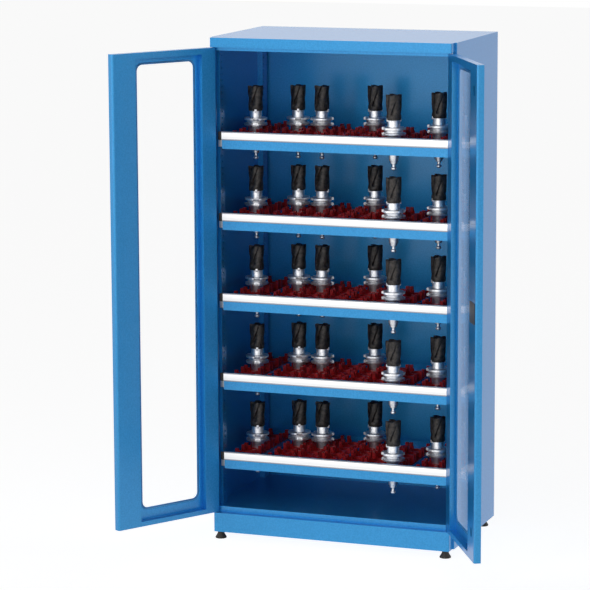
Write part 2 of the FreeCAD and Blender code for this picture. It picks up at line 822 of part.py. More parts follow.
def make_door_window(side):
    """Clear pane inside the skin and the seal that it is set on."""
    seal_back = f"({SKIN_INNER} + seal_thick)"
    pane_name = f"door_{side}_window"
    radius = SIZES["window_radius"] + SIZES["pane_overlap"]
    pane = window_block(
        side, f"{pane_name}_drawn", "pane_overlap", (seal_back, f"{seal_back} + pane_thick"), radius
    )
    stand_open(side, pane_name, pane)
    seal_name = f"door_{side}_seal"
    ring = window_block(
        side,
        f"{seal_name}_ring",
        "(pane_overlap - seal_inset)",
        (SKIN_INNER, seal_back),
        radius - SIZES["seal_inset"],
    )
    hole = window_block(
        side,
        f"{seal_name}_hole",
        "0",
        (f"{SKIN_INNER} - overrun", f"{seal_back} + overrun"),
        "window_radius",
    )
    stand_open(side, seal_name, cut(f"{seal_name}_drawn", ring, [hole]))


def make_hinge_pins(side):
    """Top and bottom pivot pins with their plates and washers."""
    name = f"door_{side}_hinge_pins"
    plate_u = (f"{LEAF_START} + door_gauge", f"{LEAF_START} + door_gauge + hinge_plate_length")
    plate_y = (f"{FRAME_BACK} - hinge_plate_width", FRAME_BACK)
    top_plate = f"({LEAF_HIGH} - door_gauge)"
    low_plate = f"({LEAF_LOW} + door_gauge)"
    top_pin = f"{FASCIA_LOW} + panel_gauge + bracket_thick + pin_overrun"
    low_pin = f"{PLINTH_TOP} - panel_gauge - bracket_thick - pin_overrun"
    top_washer = (LEAF_HIGH, f"{FASCIA_LOW} - washer_clearance")
    low_washer = (f"{PLINTH_TOP} + washer_clearance", LEAF_LOW)
    top = fuse(f"{name}_top", [
        leaf_box(side, f"{name}_top_plate", plate_u, plate_y, (f"{top_plate} - hinge_plate_thick", top_plate)),
        round_bar(f"{name}_top_pin", "0", "0", (f"{top_plate} - hinge_plate_thick", top_pin), "pin_radius"),
        round_bar(f"{name}_top_washer", "0", "0", top_washer, "washer_radius"),
    ])
    bottom = fuse(f"{name}_bottom", [
        leaf_box(side, f"{name}_low_plate", plate_u, plate_y, (low_plate, f"{low_plate} + hinge_plate_thick")),
        round_bar(f"{name}_low_pin", "0", "0", (low_pin, f"{low_plate} + hinge_plate_thick"), "pin_radius"),
        round_bar(f"{name}_low_washer", "0", "0", low_washer, "washer_radius"),
    ])
    return stand_open(side, name, group(f"{name}_drawn", [top, bottom]))


# Lock, drawn in the right door's own frame

SPINDLE_Z = "(lock_height + spindle_rise)"
CYLINDER_Z = "(lock_height - cylinder_drop)"
ROD_Y = f"({LEAF_OUTER} + rod_depth)"
LOCK_FRONT = f"({LEAF_INNER} - lock_body_depth)"
ROD_TOP_IN = "(lock_height + lock_body_height / 2 - rod_entry)"
ROD_LOW_IN = "(lock_height - lock_body_height / 2 + rod_entry)"


def lock_box(name, width, height, y, grow="0"):
    """Block centred on the lock, through a span of the door's thickness."""
    half = f"({width} / 2 + {grow})"
    tall = f"({height} / 2 + {grow})"
    u = (f"{LOCK_U} - {half}", f"{LOCK_U} + {half}")
    return leaf_box("right", name, u, y, (f"lock_height - {tall}", f"lock_height + {tall}"))


def lock_bore(name, z, y, radius):
    """Cylinder through the door's thickness at the lock."""
    return level_bar(name, f"-({LOCK_U})", y, z, radius)


def rod_bar(name, z, radius):
    """Upright cylinder on the line of the locking rods."""
    return round_bar(name, f"-{ROD_U}", ROD_Y, z, radius)


def lock_skin_holes():
    """Openings in the skin for the spindle, the key cylinder and both rods."""
    through = (f"{LEAF_OUTER} - overrun", f"{SKIN_INNER} + door_gauge")
    radius = "rod_radius + rod_clearance"
    return [
        lock_bore("skin_spindle_hole", SPINDLE_Z, through, "spindle_radius + spindle_clearance"),
        lock_bore("skin_cylinder_hole", CYLINDER_Z, through, "cylinder_radius + spindle_clearance"),
        rod_bar("skin_rod_hole_top", (f"{LEAF_HIGH} - overrun", f"{LEAF_HIGH} + overrun"), radius),
        rod_bar("skin_rod_hole_low", (f"{LEAF_LOW} - overrun", f"{LEAF_LOW} + overrun"), radius),
    ]


def lock_frame_holes():
    """Openings in the frame for the lock body and the two service slots."""
    through = (f"{FRAME_BACK} - door_gauge", f"{LEAF_INNER} + overrun")
    holes = [lock_box("frame_lock_hole", "lock_body_width", "lock_body_height", through, "lock_body_clearance")]
    u = (f"{SLOT_U} - slot_width / 2", f"{SLOT_U} + slot_width / 2")
    for level, centre in {
        "top": f"({LEAF_HIGH} - slot_top_distance)",
        "low": f"({LEAF_LOW} + slot_low_distance)",
    }.items():
        z = (f"{centre} - slot_length / 2", f"{centre} + slot_length / 2")
        blank = leaf_box("right", f"frame_slot_{level}_blank", u, through, z)
        radius = SIZES["slot_width"] * SLOT_ROUND_SHARE
        holes.append(rounded(f"frame_slot_{level}", blank, radius, through_corner))
    return holes


def make_lock():
    """Lock case, key cylinder, escutcheon, lever and the two locking rods."""
    cover = lock_box(
        "lock_cover",
        "lock_cover_width",
        "lock_cover_height",
        (LEAF_INNER, f"{LEAF_INNER} + lock_cover_depth"),
    )
    body = lock_box("lock_body", "lock_body_width", "lock_body_height", (LOCK_FRONT, LEAF_INNER))
    top_edge = "(lock_height + lock_body_height / 2)"
    low_edge = "(lock_height - lock_body_height / 2)"
    entry = "rod_radius + rod_clearance"
    case = cut("lock_case_drawn", fuse("lock_case_blank", [cover, body]), [
        rod_bar("lock_rod_hole_top", (f"{ROD_TOP_IN} - rod_entry", f"{top_edge} + overrun"), entry),
        rod_bar("lock_rod_hole_low", (f"{low_edge} - overrun", f"{ROD_LOW_IN} + rod_entry"), entry),
        lock_bore(
            "lock_spindle_hole",
            SPINDLE_Z,
            (f"{LOCK_FRONT} - overrun", f"{LOCK_FRONT} + overrun"),
            "spindle_radius + spindle_clearance",
        ),
    ])
    stand_open("right", "lock_case", case)

    plate_y = (f"{LEAF_OUTER} - escutcheon_thick", LEAF_OUTER)
    plate = cut(
        "lock_escutcheon_drawn",
        lock_box("lock_escutcheon_blank", "escutcheon_width", "escutcheon_height", plate_y),
        [
            lock_bore(
                "escutcheon_spindle_hole",
                SPINDLE_Z,
                (f"{plate_y[0]} - overrun", f"{plate_y[1]} + overrun"),
                "spindle_radius + spindle_clearance",
            ),
            lock_bore(
                "escutcheon_cylinder_hole",
                CYLINDER_Z,
                (f"{plate_y[0]} - overrun", f"{plate_y[1]} + overrun"),
                "cylinder_radius + spindle_clearance",
            ),
        ],
    )
    stand_open("right", "lock_escutcheon", plate)

    barrel = lock_bore(
        "lock_cylinder_drawn", CYLINDER_Z, (f"{plate_y[0]} - cylinder_stand_out", LOCK_FRONT), "cylinder_radius"
    )
    stand_open("right", "lock_cylinder", barrel)

    lever_y = (f"{plate_y[0]} - lever_lift - lever_thick", f"{plate_y[0]} - lever_lift")
    lever_u = (f"{LOCK_U} - lever_length", LOCK_U)
    lever_z = (f"{SPINDLE_Z} - lever_width / 2", f"{SPINDLE_Z} + lever_width / 2")
    lever = fuse("lock_handle_drawn", [
        leaf_box("right", "lever_bar", lever_u, lever_y, lever_z),
        lock_bore("lever_hub", SPINDLE_Z, lever_y, "lever_hub_radius"),
        lock_bore("lever_spindle", SPINDLE_Z, (lever_y[0], f"{LOCK_FRONT} + spindle_clearance"), "spindle_radius"),
    ])
    stand_open("right", "lock_handle", lever)

    upper = rod_bar("lock_rod_upper_drawn", (ROD_TOP_IN, f"{LEAF_HIGH} - rod_tip_set_back"), "rod_radius")
    lower = rod_bar("lock_rod_lower_drawn", (f"{LEAF_LOW} + rod_tip_set_back", ROD_LOW_IN), "rod_radius")
    stand_open("right", "lock_rod_upper", upper)
    stand_open("right", "lock_rod_lower", lower)


def make_doors():
    """Both doors with their hinges, windows and the right door's lock."""
    for side in SIDES:
        skin_holes = lock_skin_holes() if side == "right" else []
        frame_holes = lock_frame_holes() if side == "right" else []
        make_door_skin(side, skin_holes)
        make_door_frame(side, frame_holes)
        make_door_window(side)
        make_hinge_pins(side)
    make_lock()


# Shelves, drawn with the top of the handle strip at zero height

COLUMNS = [
    (f"-({SHELF_SIDE} - column_a_room)", f"{FRONT} + column_a_depth"),
    ("column_b_x", f"{FRONT} + column_b_depth"),
    ("column_b_x + column_b_pitch", f"{FRONT} + column_b_depth"),
    ("column_b_x + 2 * column_b_pitch", f"{FRONT} + column_b_depth"),
    ("column_c_x", f"{FRONT} + column_c_depth"),
    ("column_c_x + column_c_pitch", f"{FRONT} + column_c_depth"),
    ("column_c_x + 2 * column_c_pitch", f"{FRONT} + column_c_depth"),
    (f"{SHELF_SIDE} - column_d_room", f"{FRONT} + column_d_depth"),
]
ROW_PITCH = f"((body_depth - row_depth_spare) / {ROW_COUNT})"
TRAY_SPLIT = f"({SHELF_SIDE} - tray_split_room)"
TRAY_EDGE = f"({SHELF_SIDE} - tray_edge_room)"
STRIP_LEFT = f"({HALF} - strip_left_room)"
STRIP_RIGHT = f"({HALF} - strip_right_room)"
FACE_SPAN = (f"-({HALF} - shelf_face_left_room)", f"{HALF} - shelf_face_right_room")
STRIP_FRONT = f"({DOOR_BACK} + shelf_front_gap)"
STRIP_BACK = f"({STRIP_FRONT} + strip_gauge)"
SHELF_FRONT = f"({STRIP_BACK} + strip_lip)"
SHELF_INNER = f"({SHELF_FRONT} + shelf_front_depth)"
SHELF_BACK_IN = f"({SHELF_BACK} - shelf_gauge)"


def make_shelf_frame():
    """Shelf tray: front channel, rim, four decks with insert holes and their folded edges."""
    low = "(-shelf_height)"
    wide = (f"-{SHELF_SIDE}", SHELF_SIDE)
    rim = (low, "-shelf_rim_drop")
    pieces = [
        box("shelf_face", FACE_SPAN, (SHELF_FRONT, f"{SHELF_FRONT} + shelf_gauge"), (low, "0")),
        box("shelf_face_foot", FACE_SPAN, (SHELF_FRONT, SHELF_INNER), (low, f"{low} + shelf_gauge")),
        box("shelf_face_head", FACE_SPAN, (SHELF_FRONT, f"{SHELF_FRONT} + shelf_lip"), ("-shelf_gauge", "0")),
        box("shelf_front_wall", wide, (SHELF_INNER, f"{SHELF_INNER} + shelf_gauge"), rim),
        box("shelf_back_wall", wide, (SHELF_BACK_IN, SHELF_BACK), rim),
    ]
    for side in SIDES:
        wall = outward(side, f"{SHELF_SIDE} - shelf_gauge", SHELF_SIDE)
        pieces.append(box(f"shelf_wall_{side}", wall, (SHELF_INNER, SHELF_BACK), rim))
    deck = ("-deck_drop - shelf_gauge", "-deck_drop")
    edge = ("-deck_drop", "-deck_drop + tray_rim")
    run = (SHELF_INNER, SHELF_BACK)
    half = "tray_gap / 2"
    trays = {
        "outer": (f"{TRAY_SPLIT} + {half}", SHELF_SIDE),
        "inner": (half, f"{TRAY_SPLIT} - {half}"),
    }
    for side in SIDES:
        for tray, (near, far) in trays.items():
            name = f"shelf_{tray}_tray_{side}"
            last = far if tray == "inner" else TRAY_EDGE
            pieces.append(box(f"{name}_deck", outward(side, near, far), run, deck))
            near_edge = outward(side, near, f"{near} + shelf_gauge")
            far_edge = outward(side, f"{last} - shelf_gauge", last)
            pieces.append(box(f"{name}_near_edge", near_edge, run, edge))
            pieces.append(box(f"{name}_far_edge", far_edge, run, edge))
    holes = [
        round_bar(
            f"deck_hole_{column}_{row}",
            x,
            y,
            ("-deck_drop - shelf_gauge - overrun", "-deck_drop + overrun"),
            "insert_sleeve_radius + insert_seat_gap",
        )
        for column, row, x, y in insert_places()
    ]
    return cut("shelf_frame", fuse("shelf_frame_blank", pieces), holes)


def insert_places():
    """Column, row and centre of every insert on a shelf."""
    return [
        (column, row, x, f"{y} + {row} * {ROW_PITCH}")
        for column, (x, y) in enumerate(COLUMNS)
        for row in range(ROW_COUNT)
    ]


def make_handle_strip():
    """Aluminium handle strip with a black cap at each end."""
    low, high = "-strip_height", "0"
    face = (STRIP_FRONT, STRIP_BACK)
    strip = fuse("strip", [
        box("strip_face", (f"-{STRIP_LEFT}", STRIP_RIGHT), face, (low, high)),
        box("strip_top_lip", FACE_SPAN, (STRIP_BACK, SHELF_FRONT), (f"{high} - strip_gauge", high)),
        box("strip_low_lip", FACE_SPAN, (STRIP_BACK, SHELF_FRONT), (low, f"{low} + strip_gauge")),
    ])
    caps = [
        box("strip_cap_left", (f"-{STRIP_LEFT} - cap_left", f"-{STRIP_LEFT}"), face, (low, high)),
        box("strip_cap_right", (STRIP_RIGHT, f"{STRIP_RIGHT} + cap_right"), face, (low, high)),
    ]
    return group("handle_strip", [strip] + caps)


def taper_radius_at(z):
    """Radius of a tool's taper at a height below the strip's top."""
    start = "(-tool_drop + stud_length + neck_length + collar_length)"
    slope = "((taper_wide_radius - taper_radius) / taper_length)"
    return f"(taper_radius + {slope} * ({z} - {start}))"


def make_insert():
    """One plastic tool socket: plate, ring, sleeve, corner lugs and arms."""
    seat = "(-deck_drop)"
    plate_top = f"({seat} + insert_plate)"
    ring_top = f"({plate_top} + insert_ring_height)"
    sleeve_low = f"({seat} - insert_sleeve_height)"
    half = "(insert_side / 2)"
    pieces = [
        box("insert_plate_block", (f"-{half}", half), (f"-{half}", half), (seat, plate_top)),
        round_bar("insert_ring", "0", "0", (seat, ring_top), "insert_ring_radius"),
        round_bar("insert_sleeve", "0", "0", (sleeve_low, plate_top), "insert_sleeve_radius"),
    ]
    lug_near = f"({half} - insert_lug)"
    for across in SIDES:
        for along in SIDES:
            name = f"insert_lug_{across}_{along}"
            height = (seat, f"{plate_top} + insert_lug_height")
            pieces.append(box(name, outward(across, lug_near, half), outward(along, lug_near, half), height))
    reach = f"(({lug_near} + insert_lug / 2) * sqrt(2))"
    for turn in (45, 135):
        arm = box(
            f"insert_arm_{turn}",
            (f"-{reach}", reach),
            ("-insert_arm_width / 2", "insert_arm_width / 2"),
            (seat, f"{plate_top} + insert_arm_height"),
        )
        pieces.append(placed(f"insert_arm_turned_{turn}", arm, angle=str(turn)))
    core = round_bar(
        "insert_core", "0", "0", (ring_top, f"{ring_top} + insert_lug_height"), "insert_ring_radius"
    )
    bore = round_bar(
        "insert_bore",
        "0",
        "0",
        (sleeve_low, ring_top),
        f"{taper_radius_at(sleeve_low)} + insert_hole_gap",
        f"{taper_radius_at(ring_top)} + insert_hole_gap",
    )
    return cut("insert", fuse("insert_blank", pieces), [core, bore])


def make_tool():
    """One tool: taper holder with pull stud, grooved flange and nose, and a cutter in it."""
    stud = "(-tool_drop)"
    neck = f"({stud} + stud_length)"
    collar = f"({neck} + neck_length)"
    taper = f"({collar} + collar_length)"
    flange = f"({taper} + taper_length)"
    nose = f"({flange} + flange_length)"
    cutter = f"({nose} + nose_length)"
    tip = f"({cutter} + {SHELF_PITCH} - cutter_head_room)"
    mid = f"({flange} + flange_length / 2)"
    groove_low = f"({mid} - groove_half_width)"
    groove_high = f"({mid} + groove_half_width)"
    waist = "flange_radius - groove_depth"
    holder_pieces = [
        round_bar("tool_stud", "0", "0", (stud, neck), "stud_radius"),
        round_bar("tool_neck", "0", "0", (neck, collar), "neck_radius"),
        round_bar("tool_collar", "0", "0", (collar, taper), "collar_radius", "collar_wide_radius"),
        round_bar("tool_taper", "0", "0", (taper, flange), "taper_radius", "taper_wide_radius"),
        round_bar("tool_flange_low", "0", "0", (flange, groove_low), "flange_radius"),
        round_bar("tool_groove_low", "0", "0", (groove_low, mid), "flange_radius", waist),
        round_bar("tool_groove_high", "0", "0", (mid, groove_high), waist, "flange_radius"),
        round_bar("tool_flange_high", "0", "0", (groove_high, nose), "flange_radius"),
        round_bar("tool_nose", "0", "0", (nose, cutter), "nose_radius"),
    ]
    slots = [
        box(
            f"tool_drive_slot_{side}",
            outward(side, "flange_radius - drive_slot_depth", "flange_radius + overrun"),
            ("-drive_slot_width / 2", "drive_slot_width / 2"),
            (f"{flange} - overrun", f"{nose} + overrun"),
        )
        for side in SIDES
    ]
    holder = cut("tool_holder", fuse("tool_holder_blank", holder_pieces), slots)
    notch_z = (f"{tip} - cutter_notch_depth", f"{tip} + overrun")
    reach = ("-(cutter_radius + overrun)", "cutter_radius + overrun")
    width = ("-cutter_notch_width / 2", "cutter_notch_width / 2")
    cutter_body = cut(
        "tool_cutter",
        round_bar("tool_cutter_blank", "0", "0", (cutter, tip), "cutter_radius"),
        [
            fuse("tool_cutter_notches", [
                box("tool_notch_across", reach, width, notch_z),
                box("tool_notch_along", width, reach, notch_z),
                round_bar(
                    "tool_cutter_bore",
                    "0",
                    "0",
                    (f"{tip} - cutter_bore_depth", f"{tip} + overrun"),
                    "cutter_bore_radius",
                ),
            ])
        ],
    )
    return group("tool", [holder, cutter_body])


def make_inner_runners():
    """Slide members fixed to both sides of a shelf."""
    height = ("-runner_drop - runner_half_height", "-runner_drop + runner_half_height")
    return group("inner_runners", [
        box(
            f"inner_runner_{side}",
            outward(side, SHELF_SIDE, f"{SHELF_SIDE} + runner_thick"),
            (f"{SHELF_INNER} + runner_front_gap", SHELF_BACK),
            height,
        )
        for side in SIDES
    ])


def make_outer_runner(side):
    """Fixed channel between the uprights that a shelf's runner slides in."""
    web = f"({SHELF_SIDE} + runner_thick + runner_side_clearance)"
    web_far = f"({web} + runner_gauge)"
    near = f"({SHELF_SIDE} + runner_lip_gap)"
    gap = "(runner_half_height + runner_clearance)"
    tall = f"({gap} + runner_gauge)"
    run = (f"{STEP} + runner_start", f"{BACK} - runner_back_room")
    hook = (f"-runner_drop - {tall}", f"-runner_drop + {tall}")
    return fuse(f"outer_runner_{side}", [
        box(f"runner_web_{side}", outward(side, web, web_far), run, hook),
        box(f"runner_lip_low_{side}", outward(side, near, web_far), run, (hook[0], f"-runner_drop - {gap}")),
        box(f"runner_lip_high_{side}", outward(side, near, web_far), run, (f"-runner_drop + {gap}", hook[1])),
        box(
            f"runner_hook_front_{side}",
            outward(side, web_far, UPRIGHT_FACE),
            (run[0], f"{FRONT_UPRIGHT_START} + front_upright_width"),
            hook,
        ),
        box(
            f"runner_hook_rear_{side}",
            outward(side, web_far, UPRIGHT_FACE),
            (REAR_UPRIGHT_START, run[1]),
            hook,
        ),
    ])


def shelf_height_text(index):
    """Height of a shelf's strip top, counted from the bottom shelf."""
    return f"shelf_first_top + {index} * {SHELF_PITCH}"


def make_shelves():
    """Five equal shelves, each with its strip, inserts, tools and runners."""
    frame = make_shelf_frame()
    strip = make_handle_strip()
    insert = make_insert()
    tool = make_tool()
    inner = make_inner_runners()
    outer = [make_outer_runner(side) for side in SIDES]
    places = {(column, row): (x, y) for column, row, x, y in insert_places()}
    inserts = group("insert_set", [
        placed(f"insert_{column}_{row}", insert, x, y) for (column, row), (x, y) in places.items()
    ])
    tools = group("tool_set", [
        placed(f"tool_{column}_{row}", tool, *places[column, row], angle=str(turn))
        for column, row, turn in TOOLS
    ])
    fixed = []
    for index in range(SHELF_COUNT):
        height = shelf_height_text(index)
        number = index + 1
        keep(placed(f"shelf_{number}_frame", frame, z=height), f"shelf_{number}_frame")
        keep(placed(f"shelf_{number}_handle_strip", strip, z=height), f"shelf_{number}_handle_strip")
        keep(placed(f"shelf_{number}_tool_inserts", inserts, z=height), f"shelf_{number}_tool_inserts")
        keep(placed(f"shelf_{number}_tools", tools, z=height), f"shelf_{number}_tools")
        keep(placed(f"shelf_{number}_runners", inner, z=height), f"shelf_{number}_runners")
        fixed += [placed(f"outer_runner_{number}_{side}", rail, z=height) for side, rail in zip(SIDES, outer)]
    keep(group("outer_runners", fixed), "outer_runners")


def check_and_export():
    """Refuse any failed object, then write each node's STEP file."""
    doc.recompute()
    failed = [item.Name for item in doc.Objects if {"Invalid", "Error"} & set(item.State)]
    if failed:
        raise RuntimeError(f"objects failed: {failed}")
    os.makedirs("parts", exist_ok=True)
    for node in nodes:
        shape = node.Shape
        if shape.isNull() or not shape.isValid() or not shape.Solids:
            raise RuntimeError(f"{node.Label} has no valid solid")
        shape.exportStep(f"parts/{node.Label}.step")
        print(node.Label, len(shape.Solids), "solids", round(shape.Volume), "mm3")


make_sheet()
for panel_side in SIDES:
    make_side_panel(panel_side)
make_back_panel()
make_roof_panel()
make_top_fascia()
make_plinth()
make_top_rail()
make_floor_panel()
make_uprights()
make_hinge_brackets()
make_foot_brackets()
make_feet()
make_doors()
make_shelves()
check_and_export()
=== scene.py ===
"""Looks of a tall tool cabinet: glazed doors, sliding tool shelves, tool holders and levelling feet.

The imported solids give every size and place. This file dresses them and adds the finer pieces. Lengths in
the classes are millimetres, and the meshes are metres. The doors face -Y and +Z is up.
"""

import logging
import math
from collections.abc import Sequence
from dataclasses import dataclass, field
from enum import Enum

import bmesh
import bpy
import numpy as np
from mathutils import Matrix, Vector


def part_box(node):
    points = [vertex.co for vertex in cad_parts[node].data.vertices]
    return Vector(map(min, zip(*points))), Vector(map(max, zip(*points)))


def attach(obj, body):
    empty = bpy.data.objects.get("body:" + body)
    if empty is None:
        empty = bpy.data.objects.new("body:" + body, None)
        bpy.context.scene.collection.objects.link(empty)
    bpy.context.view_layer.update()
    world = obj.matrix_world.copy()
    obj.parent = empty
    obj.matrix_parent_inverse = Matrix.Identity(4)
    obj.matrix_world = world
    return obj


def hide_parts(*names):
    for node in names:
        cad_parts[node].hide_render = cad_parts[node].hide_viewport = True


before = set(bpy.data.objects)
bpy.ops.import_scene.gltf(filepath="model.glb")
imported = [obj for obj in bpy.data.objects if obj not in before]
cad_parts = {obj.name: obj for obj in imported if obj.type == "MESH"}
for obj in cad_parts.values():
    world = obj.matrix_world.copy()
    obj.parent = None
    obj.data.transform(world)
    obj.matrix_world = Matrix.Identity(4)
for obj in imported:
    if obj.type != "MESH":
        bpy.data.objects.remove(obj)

MM = 0.001
SHELF_NUMBERS = range(1, 6)
FOOT_CORNERS = ("front_left", "front_right", "rear_left", "rear_right")

# Least corner radius of an outline in millimetres
LEAST_RADIUS = 0.2

# Noise values at which the dark and the light shade of a finish are full
TONE_STOPS = (0.36, 0.64)

log = logging.getLogger("tool_cabinet")


class Side(Enum):
    """The two hands of the cabinet, as the sign of X."""

    LEFT = -1
    RIGHT = 1

    @property
    def word(self) -> str:
        """Name of this side as the frame's nodes spell it."""
        return self.name.lower()


# Colour and nodes


def linear(code: str) -> tuple[float, float, float, float]:
    """Turn an sRGB hex code into linear light.

    Args:
        code: Six hex digits after a hash.

    Returns:
        Red, green, blue and a full alpha. Each channel c is c / 12.92 near black and
        ((c + 0.055) / 1.055) ^ 2.4 above it.
    """
    channels = np.array([int(code[start : start + 2], 16) for start in (1, 3, 5)]) / 255
    lit = np.where(channels <= 0.04045, channels / 12.92, ((channels + 0.055) / 1.055) ** 2.4)
    return (*lit.tolist(), 1.0)


def add_node(
    tree: bpy.types.NodeTree,
    kind: str,
    settings: dict[str, object] | None = None,
    inputs: dict[str | int, object] | None = None,
) -> bpy.types.Node:
    """Add one node with its settings, its input values and its links.

    Args:
        tree: Node tree that takes the node.
        kind: Blender's type name of the node.
        settings: Node properties by name.
        inputs: Input sockets by name or number, each with a value or the output socket to link.

    Returns:
        The new node.
    """
    node = tree.nodes.new(kind)
    for name, value in (settings or {}).items():
        setattr(node, name, value)
    for name, value in (inputs or {}).items():
        if isinstance(value, bpy.types.NodeSocket):
            tree.links.new(value, node.inputs[name])
        else:
            node.inputs[name].default_value = value
    return node


def empty_tree(owner: bpy.types.Material | bpy.types.World) -> bpy.types.NodeTree:
    """Clear the node tree of a material or a world.

    Args:
        owner: Material or world.

    Returns:
        Its node tree with nothing in it.
    """
    owner.use_nodes = True
    owner.node_tree.nodes.clear()
    return owner.node_tree


def add_object(name: str, data: bpy.types.ID) -> bpy.types.Object:
    """Make an object and put it into the scene.

    Args:
        name: Name of the object.
        data: Its mesh, light or camera.

    Returns:
        The new object.
    """
    made = bpy.data.objects.new(name, data)
    bpy.context.scene.collection.objects.link(made)
    return made


# Finishes


@dataclass(frozen=True)
class Draft:
    """A material under construction.

    Attributes:
        tree: Its node tree.
        shader: Its shader.
        place: Position on the piece in the piece's own axes.
    """

    tree: bpy.types.NodeTree
    shader: bpy.types.Node
    place: bpy.types.NodeSocket

    def drawn_out(self, scale: tuple[float, float, float]) -> bpy.types.NodeSocket:
        """Give the position with each axis scaled, which draws a noise out where the scale is small."""
        inputs = {"Vector": self.place, "Scale": scale}
        return add_node(self.tree, "ShaderNodeMapping", inputs=inputs).outputs["Vector"]

    def grain(
        self, size: float, layers: float = 2.0, place: bpy.types.NodeSocket | None = None
    ) -> bpy.types.NodeSocket:
        """Give a noise value whose grains have a real size.

        Args:
            size: Width of one grain in millimetres.
            layers: Finer layers that are added.
            place: Position to read the noise at, where it isn't the piece's own.

        Returns:
            Noise between 0 and 1.
        """
        source = self.place if place is None else place
        inputs = {"Vector": source, "Scale": 1 / (size * MM), "Detail": layers}
        return add_node(self.tree, "ShaderNodeTexNoise", inputs=inputs).outputs[0]

    def raise_surface(self, height: bpy.types.NodeSocket, depth: float, share: float) -> None:
        """Tilt the shading by a height.

        Args:
            height: Height between 0 and 1.
            depth: Depth of the relief in millimetres.
            share: Share of the tilt that is used.
        """
        inputs = {"Height": height, "Distance": depth * MM, "Strength": share}
        bump = add_node(self.tree, "ShaderNodeBump", inputs=inputs)
        self.tree.links.new(bump.outputs["Normal"], self.shader.inputs["Normal"])

    def two_tone(self, amount: bpy.types.NodeSocket, dark: str, light: str) -> None:
        """Spread two shades over the surface.

        Args:
            amount: Value between 0 and 1 that picks the shade.
            dark: Shade at low values.
            light: Shade at high values.
        """
        ramp = add_node(self.tree, "ShaderNodeValToRGB", inputs={"Fac": amount})
        for stop, position, shade in zip(ramp.color_ramp.elements, TONE_STOPS, (dark, light)):
            stop.position = position
            stop.color = linear(shade)
        self.tree.links.new(ramp.outputs["Color"], self.shader.inputs["Base Color"])


@dataclass(frozen=True)
class Finish:
    """A named surface finish with its colour and gloss.

    Attributes:
        title: Name of the material.
        colour: sRGB hex colour.
        roughness: Spread of the reflection.
        metallic: 1 for bare metal, less for a skin over metal or metallic paint, 0 for the rest.
    """

    title: str
    colour: str
    roughness: float
    metallic: float = 0.0

    def build(self) -> bpy.types.Material:
        """Make the material and let the finish draw its own detail.

        Returns:
            The new material.
        """
        material = bpy.data.materials.new(self.title)
        tree = empty_tree(material)
        looks = {"Base Color": linear(self.colour), "Roughness": self.roughness, "Metallic": self.metallic}
        shader = add_node(tree, "ShaderNodeBsdfPrincipled", inputs=looks)
        add_node(tree, "ShaderNodeOutputMaterial", inputs={"Surface": shader.outputs["BSDF"]})
        place = add_node(tree, "ShaderNodeTexCoord").outputs["Object"]
        self.detail(Draft(tree, shader, place))
        return material

    def detail(self, draft: Draft) -> None:
        """Add nothing to the draft; each kind of finish adds its own detail."""


@dataclass(frozen=True)
class PowderCoat(Finish):
    """Baked polyester powder coat on sheet steel.

    The photographed film mirrors in its own blue, as one with metal flakes does, so it is part metallic and
    tints what it mirrors. Its clear top mirrors pale walls at a flat angle. The melted grains leave an
    orange-peel skin about 1.5 mm wide, drawn at 6 mm, the least that shows from across a room.

    Attributes:
        light: Second shade of the skin.
        tint: Colour of the film's mirror image.
        peel: Width of one grain of the skin in millimetres.
        peel_layers: Finer layers of the skin.
        peel_depth: Depth of the skin in millimetres.
        peel_share: Share of the skin's tilt that is used.
        index: Refractive index of the film.
        top_index: Refractive index of the clear top.
        top_share: Share of the film that the clear top covers.
        top_roughness: Spread of the clear top's reflection.
    """

    light: str = "#34A4E4"
    tint: str = "#2C8FD0"
    peel: float = 6.0
    peel_layers: float = 3.0
    peel_depth: float = 0.12
    peel_share: float = 0.35
    index: float = 1.45
    top_index: float = 1.45
    top_share: float = 1.0
    top_roughness: float = 0.22

    def detail(self, draft: Draft) -> None:
        """Add the peel, its shade and the glossy top of the film.

        Args:
            draft: Material under construction.
        """
        skin = draft.grain(self.peel, self.peel_layers)
        draft.two_tone(skin, self.colour, self.light)
        draft.raise_surface(skin, self.peel_depth, self.peel_share)
        draft.shader.inputs["IOR"].default_value = self.index
        draft.shader.inputs["Specular Tint"].default_value = linear(self.tint)
        draft.shader.inputs["Coat IOR"].default_value = self.top_index
        draft.shader.inputs["Coat Weight"].default_value = self.top_share
        draft.shader.inputs["Coat Roughness"].default_value = self.top_roughness


@dataclass(frozen=True)
class TurnedSteel(Finish):
    """Hardened tool steel, turned and ground bright.

    The grinding leaves rings a fraction of a millimetre apart. They are drawn 2 mm apart and pull the
    highlights out into bands.
    """

    stain: str = "#D5D6DA"
    stain_size: float = 9.0
    ring: float = 2.0
    ring_scale: tuple[float, float, float] = (0.04, 0.04, 1.0)
    ring_depth: float = 0.01
    ring_share: float = 0.08

    def detail(self, draft: Draft) -> None:
        """Add the grinding rings and a little stain.

        Args:
            draft: Material under construction.
        """
        rings = draft.grain(self.ring, 1.0, draft.drawn_out(self.ring_scale))
        draft.two_tone(draft.grain(self.stain_size), self.stain, self.colour)
        draft.raise_surface(rings, self.ring_depth, self.ring_share)


@dataclass(frozen=True)
class OxidedSteel(Finish):
    """High-speed steel with a brown-black oxide skin.

    Oil and oxide leave it satin, with soft cloudy patches about 12 mm wide and fine scratches.
    """

    light: str = "#4E4844"
    cloud: float = 12.0
    scratch: float = 2.5
    scratch_depth: float = 0.05
    scratch_share: float = 0.3

    def detail(self, draft: Draft) -> None:
        """Add the clouds and a fine scratch grain."""
        draft.two_tone(draft.grain(self.cloud), self.colour, self.light)
        draft.raise_surface(draft.grain(self.scratch), self.scratch_depth, self.scratch_share)


